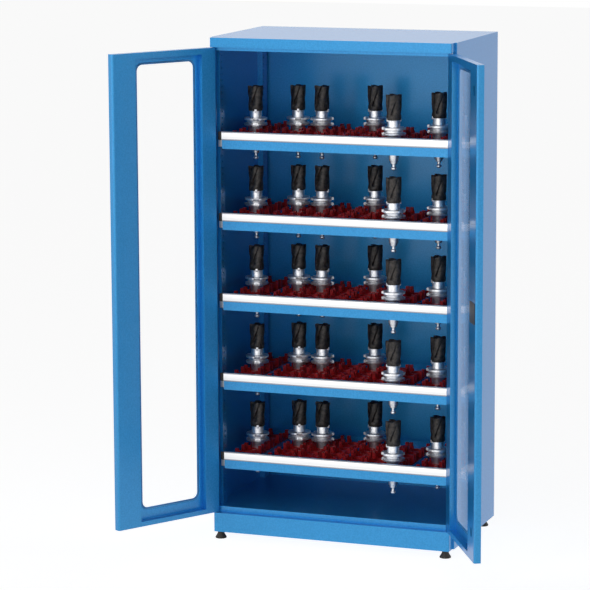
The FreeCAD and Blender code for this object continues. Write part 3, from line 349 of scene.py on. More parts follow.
@dataclass(frozen=True)
class BrushedMetal(Finish):
    """Extruded aluminium or plated steel with fine lines along its length.

    The brushing is drawn 1.5 mm wide and 60 mm long, which gives a soft sideways sheen.
    """

    line: float = 1.5
    line_scale: tuple[float, float, float] = (0.025, 1.0, 1.0)
    line_depth: float = 0.02
    line_share: float = 0.3

    def detail(self, draft: Draft) -> None:
        """Add the brushed lines."""
        lines = draft.grain(self.line, 1.0, draft.drawn_out(self.line_scale))
        draft.raise_surface(lines, self.line_depth, self.line_share)


@dataclass(frozen=True)
class MouldedPlastic(Finish):
    """Injection-moulded plastic or rubber with a spark-eroded grain.

    The grain is about 0.3 mm and is drawn at 2 mm. It breaks up the highlights.
    """

    light: str = "#D8282B"
    flow: float = 25.0
    spark: float = 2.0
    spark_depth: float = 0.05
    spark_share: float = 0.25

    def detail(self, draft: Draft) -> None:
        """Add the mould's grain and a faint flow shade."""
        draft.two_tone(draft.grain(self.flow), self.colour, self.light)
        draft.raise_surface(draft.grain(self.spark), self.spark_depth, self.spark_share)


@dataclass(frozen=True)
class ClearPane(Finish):
    """Clear acrylic sheet with a coating that keeps it from mirroring the room.

    The photographed panes show what stands behind them and next to no mirror image at a flat angle, so the
    index lies well below the 1.49 of bare acrylic. A slow wave about 180 mm wide is left from casting.
    """

    index: float = 1.06
    wave: float = 180.0
    wave_depth: float = 0.02
    wave_share: float = 0.1

    def detail(self, draft: Draft) -> None:
        """Make it clear and add the slow wave.

        Args:
            draft: Material under construction.
        """
        draft.shader.inputs["Transmission Weight"].default_value = 1.0
        draft.shader.inputs["IOR"].default_value = self.index
        draft.raise_surface(draft.grain(self.wave, 0.0), self.wave_depth, self.wave_share)


class Shop:
    """Holds each finish once and gives it out by name."""

    def __init__(self) -> None:
        """Make every material of the cabinet."""
        self.blue_paint = PowderCoat("powder_coat_light_blue", "#2A9ADA", 0.5, 0.7).build()
        self.bright_steel = TurnedSteel("turned_tool_steel", "#F4F4F5", 0.4, 1.0).build()
        self.oxide_steel = OxidedSteel("oxided_cutter_steel", "#262220", 0.45, 0.25).build()
        # Darker copy of the strip face's anodised aluminium for the strip's rails: painted shade along the
        # strip's top and bottom edges
        self.aluminium = BrushedMetal("strip_rail_aluminium_with_painted_shade", "#9EA1A8", 0.32, 1.0).build()
        self.strip_face = BrushedMetal("bright_anodised_strip_face", "#FDFDFE", 0.3, 0.95).build()
        self.zinc = BrushedMetal("zinc_plated_steel", "#C9CCCE", 0.38, 1.0).build()
        self.red_plastic = MouldedPlastic("red_moulded_nylon", "#B4171B", 0.42, light="#CC2228").build()
        self.black_plastic = MouldedPlastic("black_moulded_nylon", "#191817", 0.45, light="#26231F").build()
        self.lock_plastic = MouldedPlastic("dark_lock_cover", "#4A4543", 0.4, light="#56504D").build()
        self.foot_rubber = MouldedPlastic("foot_rubber", "#2C2825", 0.55, light="#38332F").build()
        self.seal_rubber = MouldedPlastic("window_seal_rubber", "#2A6FA8", 0.6, light="#327AB5").build()
        self.glass = ClearPane("clear_acrylic_pane", "#FFFFFF", 0.0).build()


# Surfaces


def loft(rings: np.ndarray) -> tuple[np.ndarray, list[tuple[int, ...]]]:
    """Skin a stack of closed rings.

    The point at ring i and place j is rings[i, j]. Neighbouring points of neighbouring rings make four-sided
    faces, and the first and last ring are filled.

    Args:
        rings: Array of shape (rings, points, 3).

    Returns:
        Vertices and faces.
    """
    rows, columns = rings.shape[:2]
    index = np.arange(rows * columns).reshape(rows, columns)
    below, above = index[:-1], index[1:]
    faces = np.stack([below, np.roll(below, -1, 1), np.roll(above, -1, 1), above], -1).reshape(-1, 4)
    ends = [tuple(index[0, ::-1].tolist()), tuple(index[-1].tolist())]
    return rings.reshape(-1, 3), [tuple(face) for face in faces.tolist()] + ends


def turned(profile: Sequence[tuple[float, float]], segments: int = 40) -> np.ndarray:
    """Turn a profile about the vertical.

    Each profile point (r, z) becomes the ring (r cos a, r sin a, z) with a going once round.

    Args:
        profile: Radius and height of each point, from the bottom to the top.
        segments: Points round one ring.

    Returns:
        Rings for loft.
    """
    radius, height = np.array(profile, float).T
    angle = np.linspace(0, 2 * math.pi, segments, endpoint=False)
    around = np.stack([np.cos(angle), np.sin(angle)], -1)
    flat = radius[:, None, None] * around[None]
    lifted = np.broadcast_to(height[:, None, None], (len(radius), segments, 1))
    return np.concatenate([flat, lifted], -1)


def rounded_outline(width: float, height: float, radius: float, steps: int = 6) -> np.ndarray:
    """Give the outline of a rectangle with round corners.

    Each corner is a quarter circle about a point that lies the radius inside both sides.

    Args:
        width: Full width.
        height: Full height.
        radius: Corner radius.
        steps: Points on each corner.

    Returns:
        Points (across, up), anticlockwise.
    """
    turn = np.linspace(0, math.pi / 2, steps)
    arc = np.stack([np.cos(turn), np.sin(turn)], -1) * radius
    inner = np.array([width / 2 - radius, height / 2 - radius])
    quarter = np.array([[0, -1], [1, 0]])
    signs = np.array([[1, 1], [-1, 1], [-1, -1], [1, -1]])
    parts = [
        arc @ np.linalg.matrix_power(quarter, count).T + sign * inner for count, sign in enumerate(signs)
    ]
    return np.concatenate(parts)


def cushion_rings(
    width: float, height: float, depth: float, radius: float, edge: float, steps: int = 6
) -> np.ndarray:
    """Stack rounded outlines into a plate whose two rims are rounded over.

    At height d above either face the outline is drawn in by edge - sqrt(edge^2 - (edge - d)^2), so the rim is
    a quarter circle.

    Args:
        width: Full width.
        height: Full height.
        depth: Thickness.
        radius: Corner radius of the outline.
        edge: Radius of the rims.
        steps: Rings on each rim.

    Returns:
        Rings with the thickness along the third axis, from 0 to depth.
    """
    turn = np.linspace(0, math.pi / 2, steps)
    inset = edge * (1 - np.sin(turn))
    rise = edge * (1 - np.cos(turn))
    insets = np.concatenate([inset, inset[::-1]])
    levels = np.concatenate([rise, depth - rise[::-1]])
    rings = []
    for draw, level in zip(insets, levels):
        outline = rounded_outline(width - 2 * draw, height - 2 * draw, max(radius - draw, LEAST_RADIUS))
        rings.append(np.column_stack([outline, np.full(len(outline), level)]))
    return np.array(rings)


@dataclass
class Piece:
    """One mesh under construction: faces are added part by part, each with its own finish."""

    name: str
    points: list[np.ndarray] = field(default_factory=list)
    faces: list[tuple[int, ...]] = field(default_factory=list)
    finishes: list[int] = field(default_factory=list)
    materials: list[bpy.types.Material] = field(default_factory=list)

    def add(self, rings: np.ndarray, material: bpy.types.Material) -> None:
        """Add a lofted part with its finish.

        Args:
            rings: Rings of the part in millimetres.
            material: Finish of the part.
        """
        points, faces = loft(rings)
        if material not in self.materials:
            self.materials.append(material)
        start = sum(len(part) for part in self.points)
        self.points.append(points)
        self.faces += [tuple(start + corner for corner in face) for face in faces]
        self.finishes += [self.materials.index(material)] * len(faces)

    def finish(
        self, body: str, stands_for: Sequence[str], sharp: float = 32.0
    ) -> bpy.types.Object:
        """Make the object, turn its faces outwards and hang it on its body.

        Args:
            body: Body of the frame that the piece moves with.
            stands_for: Nodes that the piece takes the place of.
            sharp: Angle in degrees above which an edge stays crisp.

        Returns:
            The finished object.
        """
        mesh = bpy.data.meshes.new(self.name)
        mesh.from_pydata((np.concatenate(self.points) * MM).tolist(), [], self.faces)
        for material in self.materials:
            mesh.materials.append(material)
        mesh.polygons.foreach_set("material_index", np.array(self.finishes, np.int32))
        work = bmesh.new()
        work.from_mesh(mesh)
        bmesh.ops.recalc_face_normals(work, faces=work.faces)
        work.to_mesh(mesh)
        work.free()
        mesh.polygons.foreach_set("use_smooth", np.ones(len(mesh.polygons), bool))
        mesh.set_sharp_from_angle(angle=math.radians(sharp))
        mesh.validate()
        made = add_object(self.name, mesh)
        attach(made, body)
        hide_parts(*stands_for)
        log.info("%s: %d faces on %s", self.name, len(mesh.polygons), body)
        return made


# Sub-assemblies


@dataclass
class Shell:
    """Welded sheet-metal body: walls, roof, floor, fascia, plinth, rail, uprights and brackets."""

    painted: tuple[str, ...] = (
        "side_panel_left",
        "side_panel_right",
        "back_panel",
        "roof_panel",
        "top_fascia",
        "plinth",
        "top_rail",
        "floor_panel",
        "perforated_uprights",
    )
    plated: tuple[str, ...] = ("hinge_brackets", "foot_brackets", "outer_runners")

    def dress(self, shop: Shop) -> None:
        """Paint the sheets and plate the brackets and runners.

        Args:
            shop: Finishes.
        """
        for name in self.painted:
            coat_node(name, shop.blue_paint)
        for name in self.plated:
            coat_node(name, shop.zinc)


def coat_node(name: str, material: bpy.types.Material) -> None:
    """Give a node of the frame its finish in every material slot.

    Args:
        name: Node of the frame.
        material: Finish that it takes.
    """
    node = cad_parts[name]
    if not node.data.materials:
        node.data.materials.append(material)
    for place in range(len(node.data.materials)):
        node.data.materials[place] = material
    log.info("%s: %s", name, material.name)


@dataclass
class Leaf:
    """One door leaf at its open rest angle, with its own axes: u from the hinge edge, d inwards, z up.

    A point (u, d, z) lies in the closed door at u along the leaf and d behind its outer face. The leaf is
    turned about the hinge axis by the rest angle.
    """

    side: Side
    open_angle: float
    hinge_x: float = 492.0
    hinge_y: float = -291.5
    edge_offset: float = 5.0
    outer_offset: float = 16.0
    window_corner: float = 35.0
    pane_margin: float = 0.5
    pane_edge: float = 0.8

    def place(self, local: np.ndarray) -> np.ndarray:
        """Move points (u, d, z) of the leaf to the open door's place.

        Args:
            local: Points with u, d and z as their last axis.

        Returns:
            Points in the cabinet's axes.
        """
        sign = self.side.value
        across = -sign * (local[..., 0] - self.edge_offset)
        along = local[..., 1] - self.outer_offset
        turn = math.radians(sign * self.open_angle)
        x = sign * self.hinge_x + across * math.cos(turn) - along * math.sin(turn)
        y = self.hinge_y + across * math.sin(turn) + along * math.cos(turn)
        return np.stack([x, y, local[..., 2]], -1)

    @property
    def body(self) -> str:
        """Name of the door's body in the frame."""
        return f"door_{self.side.word}"

    def dress(self, shop: Shop) -> None:
        """Paint the leaf, its seal and its pins, and set the pane.

        Args:
            shop: Finishes.
        """
        coat_node(f"{self.body}_skin", shop.blue_paint)
        coat_node(f"{self.body}_frame", shop.blue_paint)
        coat_node(f"{self.body}_seal", shop.seal_rubber)
        coat_node(f"{self.body}_hinge_pins", shop.zinc)
        self.set_pane(shop)

    def set_pane(
        self,
        shop: Shop,
        low: float = 168.0,
        high: float = 1950.0,
        start: float = 80.0,
        end: float = 372.0,
        depth: float = 3.0,
        thick: float = 4.0,
    ) -> None:
        """Make the pane: a rounded plate with ground rims behind the window.

        Args:
            shop: Finishes.
            low: Height of its lower edge.
            high: Height of its upper edge.
            start: Edge nearest to the hinge, along the leaf.
            end: Edge nearest to the free side.
            depth: Distance of its outer face behind the door's outer face.
            thick: Thickness.
        """
        corner = self.window_corner - self.pane_margin
        rings = cushion_rings(end - start, high - low, thick, corner, self.pane_edge)
        middle = np.array([(start + end) / 2, depth, (low + high) / 2])
        local = rings[..., [0, 2, 1]] + middle
        piece = Piece(f"pane_{self.side.word}")
        piece.add(self.place(local), shop.glass)
        made = piece.finish(self.body, [f"{self.body}_window"])
        made.visible_shadow = False


@dataclass(frozen=True)
class Plate:
    """Rounded plate: its sizes, and the radii of its corners and of its rims."""

    width: float
    height: float
    thick: float
    corner: float
    rim: float

    def rings(self, steps: int = 6) -> np.ndarray:
        """Give its rings, with the thickness along the third axis."""
        return cushion_rings(self.width, self.height, self.thick, self.corner, self.rim, steps)


@dataclass
class Lock:
    """Lock of the right door: inner cover, outer plate, key cylinder and lever.

    Depths count inwards from the door's outer face, so what stands outside it lies below zero.
    """

    leaf: Leaf
    from_hinge: float = 445.0
    height: float = 1061.5
    inner_face: float = 28.0
    cover: Plate = Plate(80.0, 81.0, 3.0, 7.0, 1.2)
    case: Plate = Plate(56.0, 76.0, 20.0, 2.0, 0.8)
    plate: Plate = Plate(30.0, 84.0, 2.0, 6.0, 0.7)
    cylinder_drop: float = 22.0
    cylinder_radius: float = 8.0
    cylinder_ends: tuple[float, float] = (-2.9, 8.0)
    spindle_rise: float = 14.0
    spindle_radius: float = 4.9
    spindle_end: float = 7.7
    hub_radius: float = 11.8

    def plate_rings(self, plate: Plate, depth: float) -> np.ndarray:
        """Give a rounded plate on the lock's centre, from a depth inwards."""
        rings = plate.rings()
        return self.at(rings[..., 0], rings[..., 2] + depth, rings[..., 1])

    def at(self, across: np.ndarray, depth: np.ndarray, up: np.ndarray) -> np.ndarray:
        """Move points about the lock's centre to the open door's place."""
        local = np.stack(np.broadcast_arrays(across + self.from_hinge, depth, up + self.height), -1)
        return self.leaf.place(local)

    def bar_rings(self, radius: float, near: float, far: float, rise: float, edge: float) -> np.ndarray:
        """Give a round bar through the door's thickness with rounded ends.

        At a share t of the rounding's width the radius is drawn in by edge * (1 - sqrt(1 - (1 - t)^2)).

        Args:
            radius: Radius of the bar.
            near: Depth of its outer end.
            far: Depth of its inner end.
            rise: Height of its axis over the lock's centre.
            edge: Radius of its ends.

        Returns:
            Rings in the cabinet's axes.
        """
        reach = np.array([0.0, 0.3, 0.7, 1.0])
        inset = edge * (1 - np.sqrt(1 - (1 - reach) ** 2))
        radii = radius - np.concatenate([inset, inset[::-1]])
        depths = np.concatenate([near + edge * reach, far - edge * reach[::-1]])
        rings = turned(list(zip(radii, depths)), segments=32)
        return self.at(rings[..., 0], rings[..., 2], rings[..., 1] + rise)

    def dress(self, shop: Shop) -> None:
        """Make the lock's four visible parts and plate its rods.

        Args:
            shop: Finishes.
        """
        case = Piece("lock_cover_and_case")
        case.add(self.plate_rings(self.cover, self.inner_face), shop.lock_plastic)
        case.add(self.plate_rings(self.case, self.inner_face - self.case.thick), shop.zinc)
        case.finish("door_right", ["lock_case"])

        plate = Piece("lock_outer_plate")
        plate.add(self.plate_rings(self.plate, -self.plate.thick), shop.black_plastic)
        plate.finish("door_right", ["lock_escutcheon"])

        barrel = Piece("lock_key_cylinder")
        rings = self.bar_rings(self.cylinder_radius, *self.cylinder_ends, -self.cylinder_drop, edge=0.6)
        barrel.add(rings, shop.bright_steel)
        barrel.finish("door_right", ["lock_cylinder"])
        self.make_lever(shop)
        for name in ("lock_rod_upper", "lock_rod_lower"):
            coat_node(name, shop.zinc)

    def make_lever(
        self,
        shop: Shop,
        length: float = 74.0,
        thick: float = 5.0,
        lift: float = 1.3,
        half_width: float = 7.0,
        narrowing: float = 2.0,
        fullness: float = 1.05,
    ) -> None:
        """Make the lever: a flat oval bar that narrows towards its end, on a round hub.

        At a share t of its length the bar is 2 * (half_width - narrowing * t) wide, and its section is a
        superellipse of power 3: the cosine and sine of the turn, each to the power 2 / 3.

        Args:
            shop: Finishes.
            length: Reach from the spindle towards the hinge.
            thick: Thickness of the bar.
            lift: Gap between the lever and the outer plate.
            half_width: Half the bar's width at the spindle.
            narrowing: What half the width loses towards the end.
            fullness: Thickness left at the end, over the width left there.
        """
        turn = np.linspace(0, 2 * math.pi, 28, endpoint=False)
        power = 2 / 3
        across = np.sign(np.cos(turn)) * np.abs(np.cos(turn)) ** power
        through = np.sign(np.sin(turn)) * np.abs(np.sin(turn)) ** power
        share = np.array([0.0, 0.1, 0.3, 0.5, 0.7, 0.85, 0.94, 0.98, 1.0])
        end = np.array([1, 1, 1, 1, 1, 1, 0.9, 0.62, 0.2])
        half = (half_width - narrowing * share) * end
        middle = -self.plate.thick - lift - thick / 2
        up = half[:, None] * across[None] + self.spindle_rise
        depth = middle + thick / 2 * np.minimum(end * fullness, 1)[:, None] * through[None]
        reach = np.broadcast_to(-length * share[:, None], up.shape)
        hub_ends = (middle - thick / 2, middle + thick / 2)
        hub = self.bar_rings(self.hub_radius, *hub_ends, self.spindle_rise, edge=1.2)
        spindle = self.bar_rings(self.spindle_radius, middle, self.spindle_end, self.spindle_rise, edge=0.4)
        lever = Piece("lock_lever")
        lever.add(self.at(reach, depth, up), shop.black_plastic)
        lever.add(hub, shop.black_plastic)
        lever.add(spindle, shop.zinc)
        lever.finish("lock_handle", ["lock_handle"])


@dataclass
class TaperTool:
    """Taper tool holder with a shell cutter, measured up from the end of its pull stud.

    The holder's profile holds the radius and height of each point of its outline, and the rim steps hold the
    share of the cutter's rim and the depth under it of each ring of its top and bore.
    """

    profile: tuple[tuple[float, float], ...] = (
        (0.0, 0.0), (5.0, 0.2), (8.2, 1.8), (10.3, 5.0), (10.4, 8.0), (8.8, 11.2), (6.6, 13.5),
        (6.3, 17.0), (6.4, 23.0), (7.6, 25.2), (12.6, 26.4), (13.2, 28.0), (15.0, 35.0), (17.2, 36.2),
        (18.0, 37.2), (27.0, 136.6), (43.5, 137.0), (46.2, 138.4), (46.8, 140.0), (46.8, 146.6),
        (38.0, 149.8), (36.2, 150.6), (36.2, 157.4), (38.0, 158.2), (46.8, 161.2), (46.9, 168.4),
        (46.0, 169.6), (44.8, 170.0), (26.4, 170.1), (25.2, 170.8), (24.9, 172.2), (24.9, 196.4),
        (24.2, 197.6), (22.6, 198.0),
    )
    flange_radius: float = 47.0
    flange_low: float = 137.0
    flange_high: float = 170.0
    slot_half_width: float = 12.5
    slot_floor: float = 38.5
    slot_wall_turn: float = 0.001
    dog: Plate = Plate(7.0, 9.4, 12.0, 1.2, 0.8)
    dog_place: float = 26.4
    dog_sink: float = 6.0
    cutter_low: float = 198.0
    cutter_chamfer: float = 0.8
    base_heights: tuple[float, ...] = (0.0, 0.8, 4.0, 8.0, 8.2)
    teeth_heights: tuple[float, float] = (12.0, 96.0)
    teeth_rings: int = 22
    rim_heights: tuple[float, float] = (98.6, 99.6)
    body_heights: tuple[float, ...] = (0.0, 8.0, 30.0, 100.0)
    body_radii: tuple[float, ...] = (28.6, 29.4, 30.2, 31.0)
    flutes: int = 4
    flute_depth: float = 8.5
    flute_runout: tuple[float, float] = (14.0, 24.0)
    helix: float = 24.0
    land_share: float = 0.3
    edge_share: float = 0.06
    climb_power: float = 1.4
    key_height: float = 8.1
    key_half_width: float = 5.2
    key_radius: float = 29.0
    key_floor: float = 22.0
    dip_depth: float = 6.5
    dip_gain: float = 1.6
    dip_rim_share: float = 0.6
    rim_steps: tuple[tuple[float, float], ...] = (
        (0.72, 0.4), (0.5, 2.0), (0.42, 3.0), (0.4, 13.0), (0.02, 13.6),
    )
    segments: int = 96

    def holder_rings(self) -> np.ndarray:
        """Give the holder's surface.

        The radius follows the profile. Within the two drive slots, where |sin a| is small, it is no more than
        the slot floor's distance over |cos a|, which cuts flat-bottomed slots across the flange.

        Returns:
            Rings for loft.
        """
        radius, height = np.array(self.profile).T
        edge = math.asin(self.slot_half_width / self.flange_radius)
        walls = [
            turn + side * (edge + shift)
            for turn in (0, math.pi)
            for side in (-1, 1)
            for shift in (-self.slot_wall_turn, self.slot_wall_turn)
        ]
        even = np.linspace(0, 2 * math.pi, self.segments, endpoint=False)
        angle = np.sort(np.mod(np.concatenate([even, walls]), 2 * math.pi))
        in_slot = np.abs(np.sin(angle)) < math.sin(edge)
        floor = self.slot_floor / np.abs(np.cos(angle))
        flange = (height >= self.flange_low) & (height <= self.flange_high)
        limit = np.where(flange[:, None] & in_slot[None], floor[None], np.inf)
        spread = np.minimum(radius[:, None], limit)
        lifted = np.broadcast_to(height[:, None], spread.shape)
        return np.stack([spread * np.cos(angle), spread * np.sin(angle), lifted], -1)

    def dog_rings(self, side: int) -> np.ndarray:
        """Give one drive dog: a rounded block that stands on the nose and keys into the cutter."""
        rings = self.dog.rings(steps=3)
        return rings + np.array([side * self.dog_place, 0.0, self.cutter_low - self.dog_sink])

    def cutter_rings(self) -> np.ndarray:
        """Give the cutter's surface.

        The share of a flute's pitch at angle a and height z is p = flutes * (a - z tan(helix) / R) / 2 pi.
        Behind each cutting edge the radius falls quickly, and it climbs back slowly: for p above the land it
        is drawn in by the flute's depth times ((1 - p) / (1 - land)) to the climb's power. The top ring sinks
        where the flutes run out, and the middle is a sunken bore.

        Returns:
            Rings for loft.
        """
        angle = np.linspace(0, 2 * math.pi, self.segments, endpoint=False)
        teeth = np.linspace(*self.teeth_heights, self.teeth_rings)
        height = np.concatenate([self.base_heights, teeth, self.rim_heights])
        body = np.interp(height, self.body_heights, self.body_radii)
        body[[0, -1]] -= self.cutter_chamfer
        twist = height * math.tan(math.radians(self.helix)) / self.body_radii[-1]
        share = np.mod(self.flutes * (angle[None] - twist[:, None]) / (2 * math.pi), 1.0)
        drop = np.clip((share - self.land_share) / self.edge_share, 0, 1)
        fall = drop * np.clip((1 - share) / (1 - self.land_share), 0, 1) ** self.climb_power
        reach = np.interp(height, self.flute_runout, (0, 1))
        radius = body[:, None] - self.flute_depth * reach[:, None] * fall
        in_key = np.abs(np.sin(angle)) * self.key_radius < self.key_half_width
        keyed = (height[:, None] < self.key_height) & in_key[None]
        radius = np.where(keyed, np.minimum(radius, self.key_floor), radius)
        lifted = np.broadcast_to(height[:, None], radius.shape)
        side = np.stack([radius * np.cos(angle), radius * np.sin(angle), lifted], -1)
        dip = self.dip_depth * np.clip(fall[-1] * self.dip_gain, 0, 1)
        side[-2:, :, 2] -= dip
        tops = []
        for inset, sink in self.rim_steps:
            ring = radius[-1] * inset
            level = height[-1] - sink - dip * (inset > self.dip_rim_share)
            tops.append(np.stack([ring * np.cos(angle), ring * np.sin(angle), level], -1))
        rings = np.concatenate([side, np.array(tops)])
        rings[..., 2] += self.cutter_low
        return rings

    def add_to(self, piece: Piece, x: float, y: float, low: float, turn: float, shop: Shop) -> None:
        """Stand one tool in a socket.

        Args:
            piece: Mesh that takes the tool.
            x: Place across the cabinet.
            y: Place along its depth.
            low: Height of the pull stud's end.
            turn: Angle of the drive slots in degrees.
            shop: Finishes.
        """
        angle = math.radians(turn)
        flat = [[math.cos(angle), -math.sin(angle), 0], [math.sin(angle), math.cos(angle), 0], [0, 0, 1]]
        matrix = np.array(flat)
        foot = np.array([x, y, low])
        piece.add(self.holder_rings() @ matrix.T + foot, shop.bright_steel)
        for side in (-1, 1):
            piece.add(self.dog_rings(side) @ matrix.T + foot, shop.bright_steel)
        piece.add(self.cutter_rings() @ matrix.T + foot, shop.oxide_steel)


@dataclass
class HandleStrip:
    """Extruded handle strip across a shelf's front, with its bright face and its two end caps.

    The rail holds the points of one rounded rail, as drop from the strip's rim and depth behind its front.
    """

    left: float = -463.0
    right: float = 474.0
    cap_left: float = 14.0
    cap_right: float = 3.0
    cap_round: float = 6.0
    front: float = -276.0
    back: float = -273.5
    wall: float = -272.0
    height: float = 34.0
    face_thick: float = 0.5
    face_margin: float = 4.2
    face_depth: float = 0.85
    face_gap: float = 0.5
    end_land: float = 4.0
    rail: tuple[tuple[float, float], ...] = (
        (0.0, 1.0), (0.55, 0.35), (1.3, 0.0), (2.7, 0.0), (3.4, 0.35), (3.7, 1.1),
    )

    def section(self) -> np.ndarray:
        """Give the strip's section: two rounded rails with a shallow channel between them.

        Returns:
            Points (y, z) with the strip's top edge at zero height.
        """
        half = self.height / 2
        thick = self.back - self.front
        deep = self.wall - self.front
        front = [(depth, half - drop) for drop, depth in self.rail]
        mirror = [(depth, -height) for depth, height in front[::-1]]
        foot = np.array([(thick, -half), (deep, -half), (deep, thick - half), (thick, thick - half)])
        behind = np.concatenate([foot, foot[::-1] * np.array([1, -1])])
        return np.concatenate([np.array(front + mirror), behind]) + np.array([self.front, -half])

    def along(self, outline: np.ndarray, stops: Sequence[float]) -> np.ndarray:
        """Carry an outline along X.

        Args:
            outline: Points (y, z).
            stops: Places along X.

        Returns:
            Rings for loft, one at each stop.
        """
        count = len(stops)
        across = np.broadcast_to(np.array(stops, float)[:, None, None], (count, len(outline), 1))
        return np.concatenate([across, np.broadcast_to(outline, (count, *outline.shape))], -1)

    def cap_rings(self, side: Side) -> np.ndarray:
        """Give one end cap: the strip's outline, rounded off towards its outer end.

        Args:
            side: End of the strip.

        Returns:
            Rings for loft.
        """
        left = side is Side.LEFT
        start, width = (self.left, self.cap_left) if left else (self.right, self.cap_right)
        share = np.array([0.0, 0.4, 0.75, 0.92, 1.0])
        draw = np.array([0.0, 0.0, 0.6, 1.6, 3.2]) * min(1.0, width / self.cap_round)
        middle = np.array([(self.front + self.back) / 2, -self.height / 2])
        rings = []
        for step, inset in zip(share, draw):
            outline = rounded_outline(self.back - self.front, self.height - 2 * inset, 1.0, 4) + middle
            place = start + side.value * width * step
            rings.append(np.column_stack([np.full(len(outline), place), outline]))
        return np.array(rings)

    def make(self, number: int, top: float, shop: Shop) -> None:
        """Make the strip of one shelf.

        Args:
            number: Shelf number from the bottom.
            top: Height of the strip's top edge.
            shop: Finishes.
        """
        lift = np.array([0.0, 0.0, top])
        piece = Piece(f"handle_strip_{number}")
        stops = (self.left, self.left + self.end_land, self.right - self.end_land, self.right)
        # The rails take the darker aluminium, painted shade along the strip's top and bottom edges
        piece.add(self.along(self.section(), stops) + lift, shop.aluminium)
        face = rounded_outline(self.face_thick, self.height - 2 * self.face_margin, LEAST_RADIUS, 3)
        face += np.array([self.front + self.face_depth, -self.height / 2])
        ends = (self.left + self.face_gap, self.right - self.face_gap)
        piece.add(self.along(face, ends) + lift, shop.strip_face)
        for side in Side:
            piece.add(self.cap_rings(side) + lift, shop.black_plastic)
        piece.finish(f"shelf_{number}", [f"shelf_{number}_handle_strip"])


@dataclass
class Shelf:
    """One sliding shelf with its strip, sockets and six tools.

    Sockets stand in columns, four to a column. A tool's place is (column, row from the front, slot turn).
    """

    number: int
    columns: tuple[tuple[float, float], ...] = (
        (-408, -140), (-254, -168), (-152, -168), (-50, -168),
        (50, -201), (140.5, -201), (231, -201), (376, -176),
    )
    row_pitch: float = 106.0
    tools: tuple[tuple[int, int, float], ...] = (
        (0, 1, -70), (1, 2, -70), (2, 2, -5), (4, 3, 35), (6, 0, 35), (7, 1, 35),
    )

    @property
    def body(self) -> str:
        """Name of the shelf's body in the frame."""
        return f"shelf_{self.number}"

    def dress(self, shop: Shop, strip: HandleStrip, tool: TaperTool) -> None:
        """Paint the tray, colour the sockets and make the strip and tools.

        Args:
            shop: Finishes.
            strip: Handle strip that every shelf carries.
            tool: Tool that stands in the sockets.
        """
        coat_node(f"{self.body}_frame", shop.blue_paint)
        coat_node(f"{self.body}_tool_inserts", shop.red_plastic)
        coat_node(f"{self.body}_runners", shop.zinc)
        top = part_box(f"{self.body}_handle_strip")[1].z / MM
        strip.make(self.number, top, shop)
        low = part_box(f"{self.body}_tools")[0].z / MM
        piece = Piece(f"tools_on_shelf_{self.number}")
        for column, row, turn in self.tools:
            x, y = self.columns[column]
            tool.add_to(piece, x, y + row * self.row_pitch, low, turn, shop)
        piece.finish(self.body, [f"{self.body}_tools"], 40.0)


@dataclass
class Foot:
    """Levelling foot: a rubber bell on a threaded stem."""

    corner: str
    profile: tuple[tuple[float, float], ...] = (
        (19.5, 0.0), (22.0, 0.6), (23.0, 2.2), (22.9, 4.2), (21.8, 6.6), (19.8, 9.6),
        (17.4, 13.4), (15.2, 17.6), (13.6, 21.6), (13.0, 24.4), (13.0, 29.0), (12.3, 29.7),
    )
    stem_radius: float = 4.9
    stem_top: float = 58.5
    thread: float = 1.5
    thread_depth: float = 0.45

    def dress(self, shop: Shop) -> None:
        """Make the bell and its stem; the stem's radius waves by the thread's depth along its height.

        Args:
            shop: Finishes.
        """
        name = f"foot_{self.corner}"
        low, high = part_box(name)
        middle = np.array([(low.x + high.x) / 2, (low.y + high.y) / 2, 0.0]) / MM
        piece = Piece(f"levelling_foot_{self.corner}")
        piece.add(turned(self.profile, segments=40) + middle, shop.foot_rubber)
        bell_top = self.profile[-1][1]
        height = np.arange(bell_top, self.stem_top, self.thread / 2)
        radius = self.stem_radius - self.thread_depth * (np.arange(len(height)) % 2)
        piece.add(turned(list(zip(radius, height)), segments=20) + middle, shop.zinc)
        piece.finish(name, [name])


# Studio


@dataclass
class Camera:
    """Camera at the photograph's viewing angle, found from the cabinet's own corners."""

    x: float = 3.58064
    y: float = -10.573207
    z: float = 2.914186
    yaw: float = -19.939
    pitch: float = -9.833
    roll: float = -0.237
    focal_pixels: float = 2804.1
    frame_pixels: float = 590.0
    sensor_width: float = 36.0
    clip_end: float = 200.0

    def build(self) -> None:
        """Aim by yaw, pitch and roll: forward is (sin yaw cos pitch, cos yaw cos pitch, sin pitch)."""
        yaw, pitch, roll = (math.radians(angle) for angle in (self.yaw, self.pitch, self.roll))
        ahead = np.array([math.sin(yaw) * math.cos(pitch), math.cos(yaw) * math.cos(pitch), math.sin(pitch)])
        level = np.array([math.cos(yaw), -math.sin(yaw), 0.0])
        above = np.cross(level, ahead)
        right = level * math.cos(roll) + above * math.sin(roll)
        up = above * math.cos(roll) - level * math.sin(roll)
        matrix = np.eye(4)
        matrix[:3, 0], matrix[:3, 1], matrix[:3, 2] = right, up, -ahead
        matrix[:3, 3] = self.x, self.y, self.z
        data = bpy.data.cameras.new("studio_camera")
        data.sensor_width = self.sensor_width
        data.lens = self.focal_pixels / self.frame_pixels * data.sensor_width
        data.clip_end = self.clip_end
        made = add_object("studio_camera", data)
        made.matrix_world = matrix.T.tolist()
        bpy.context.scene.camera = made


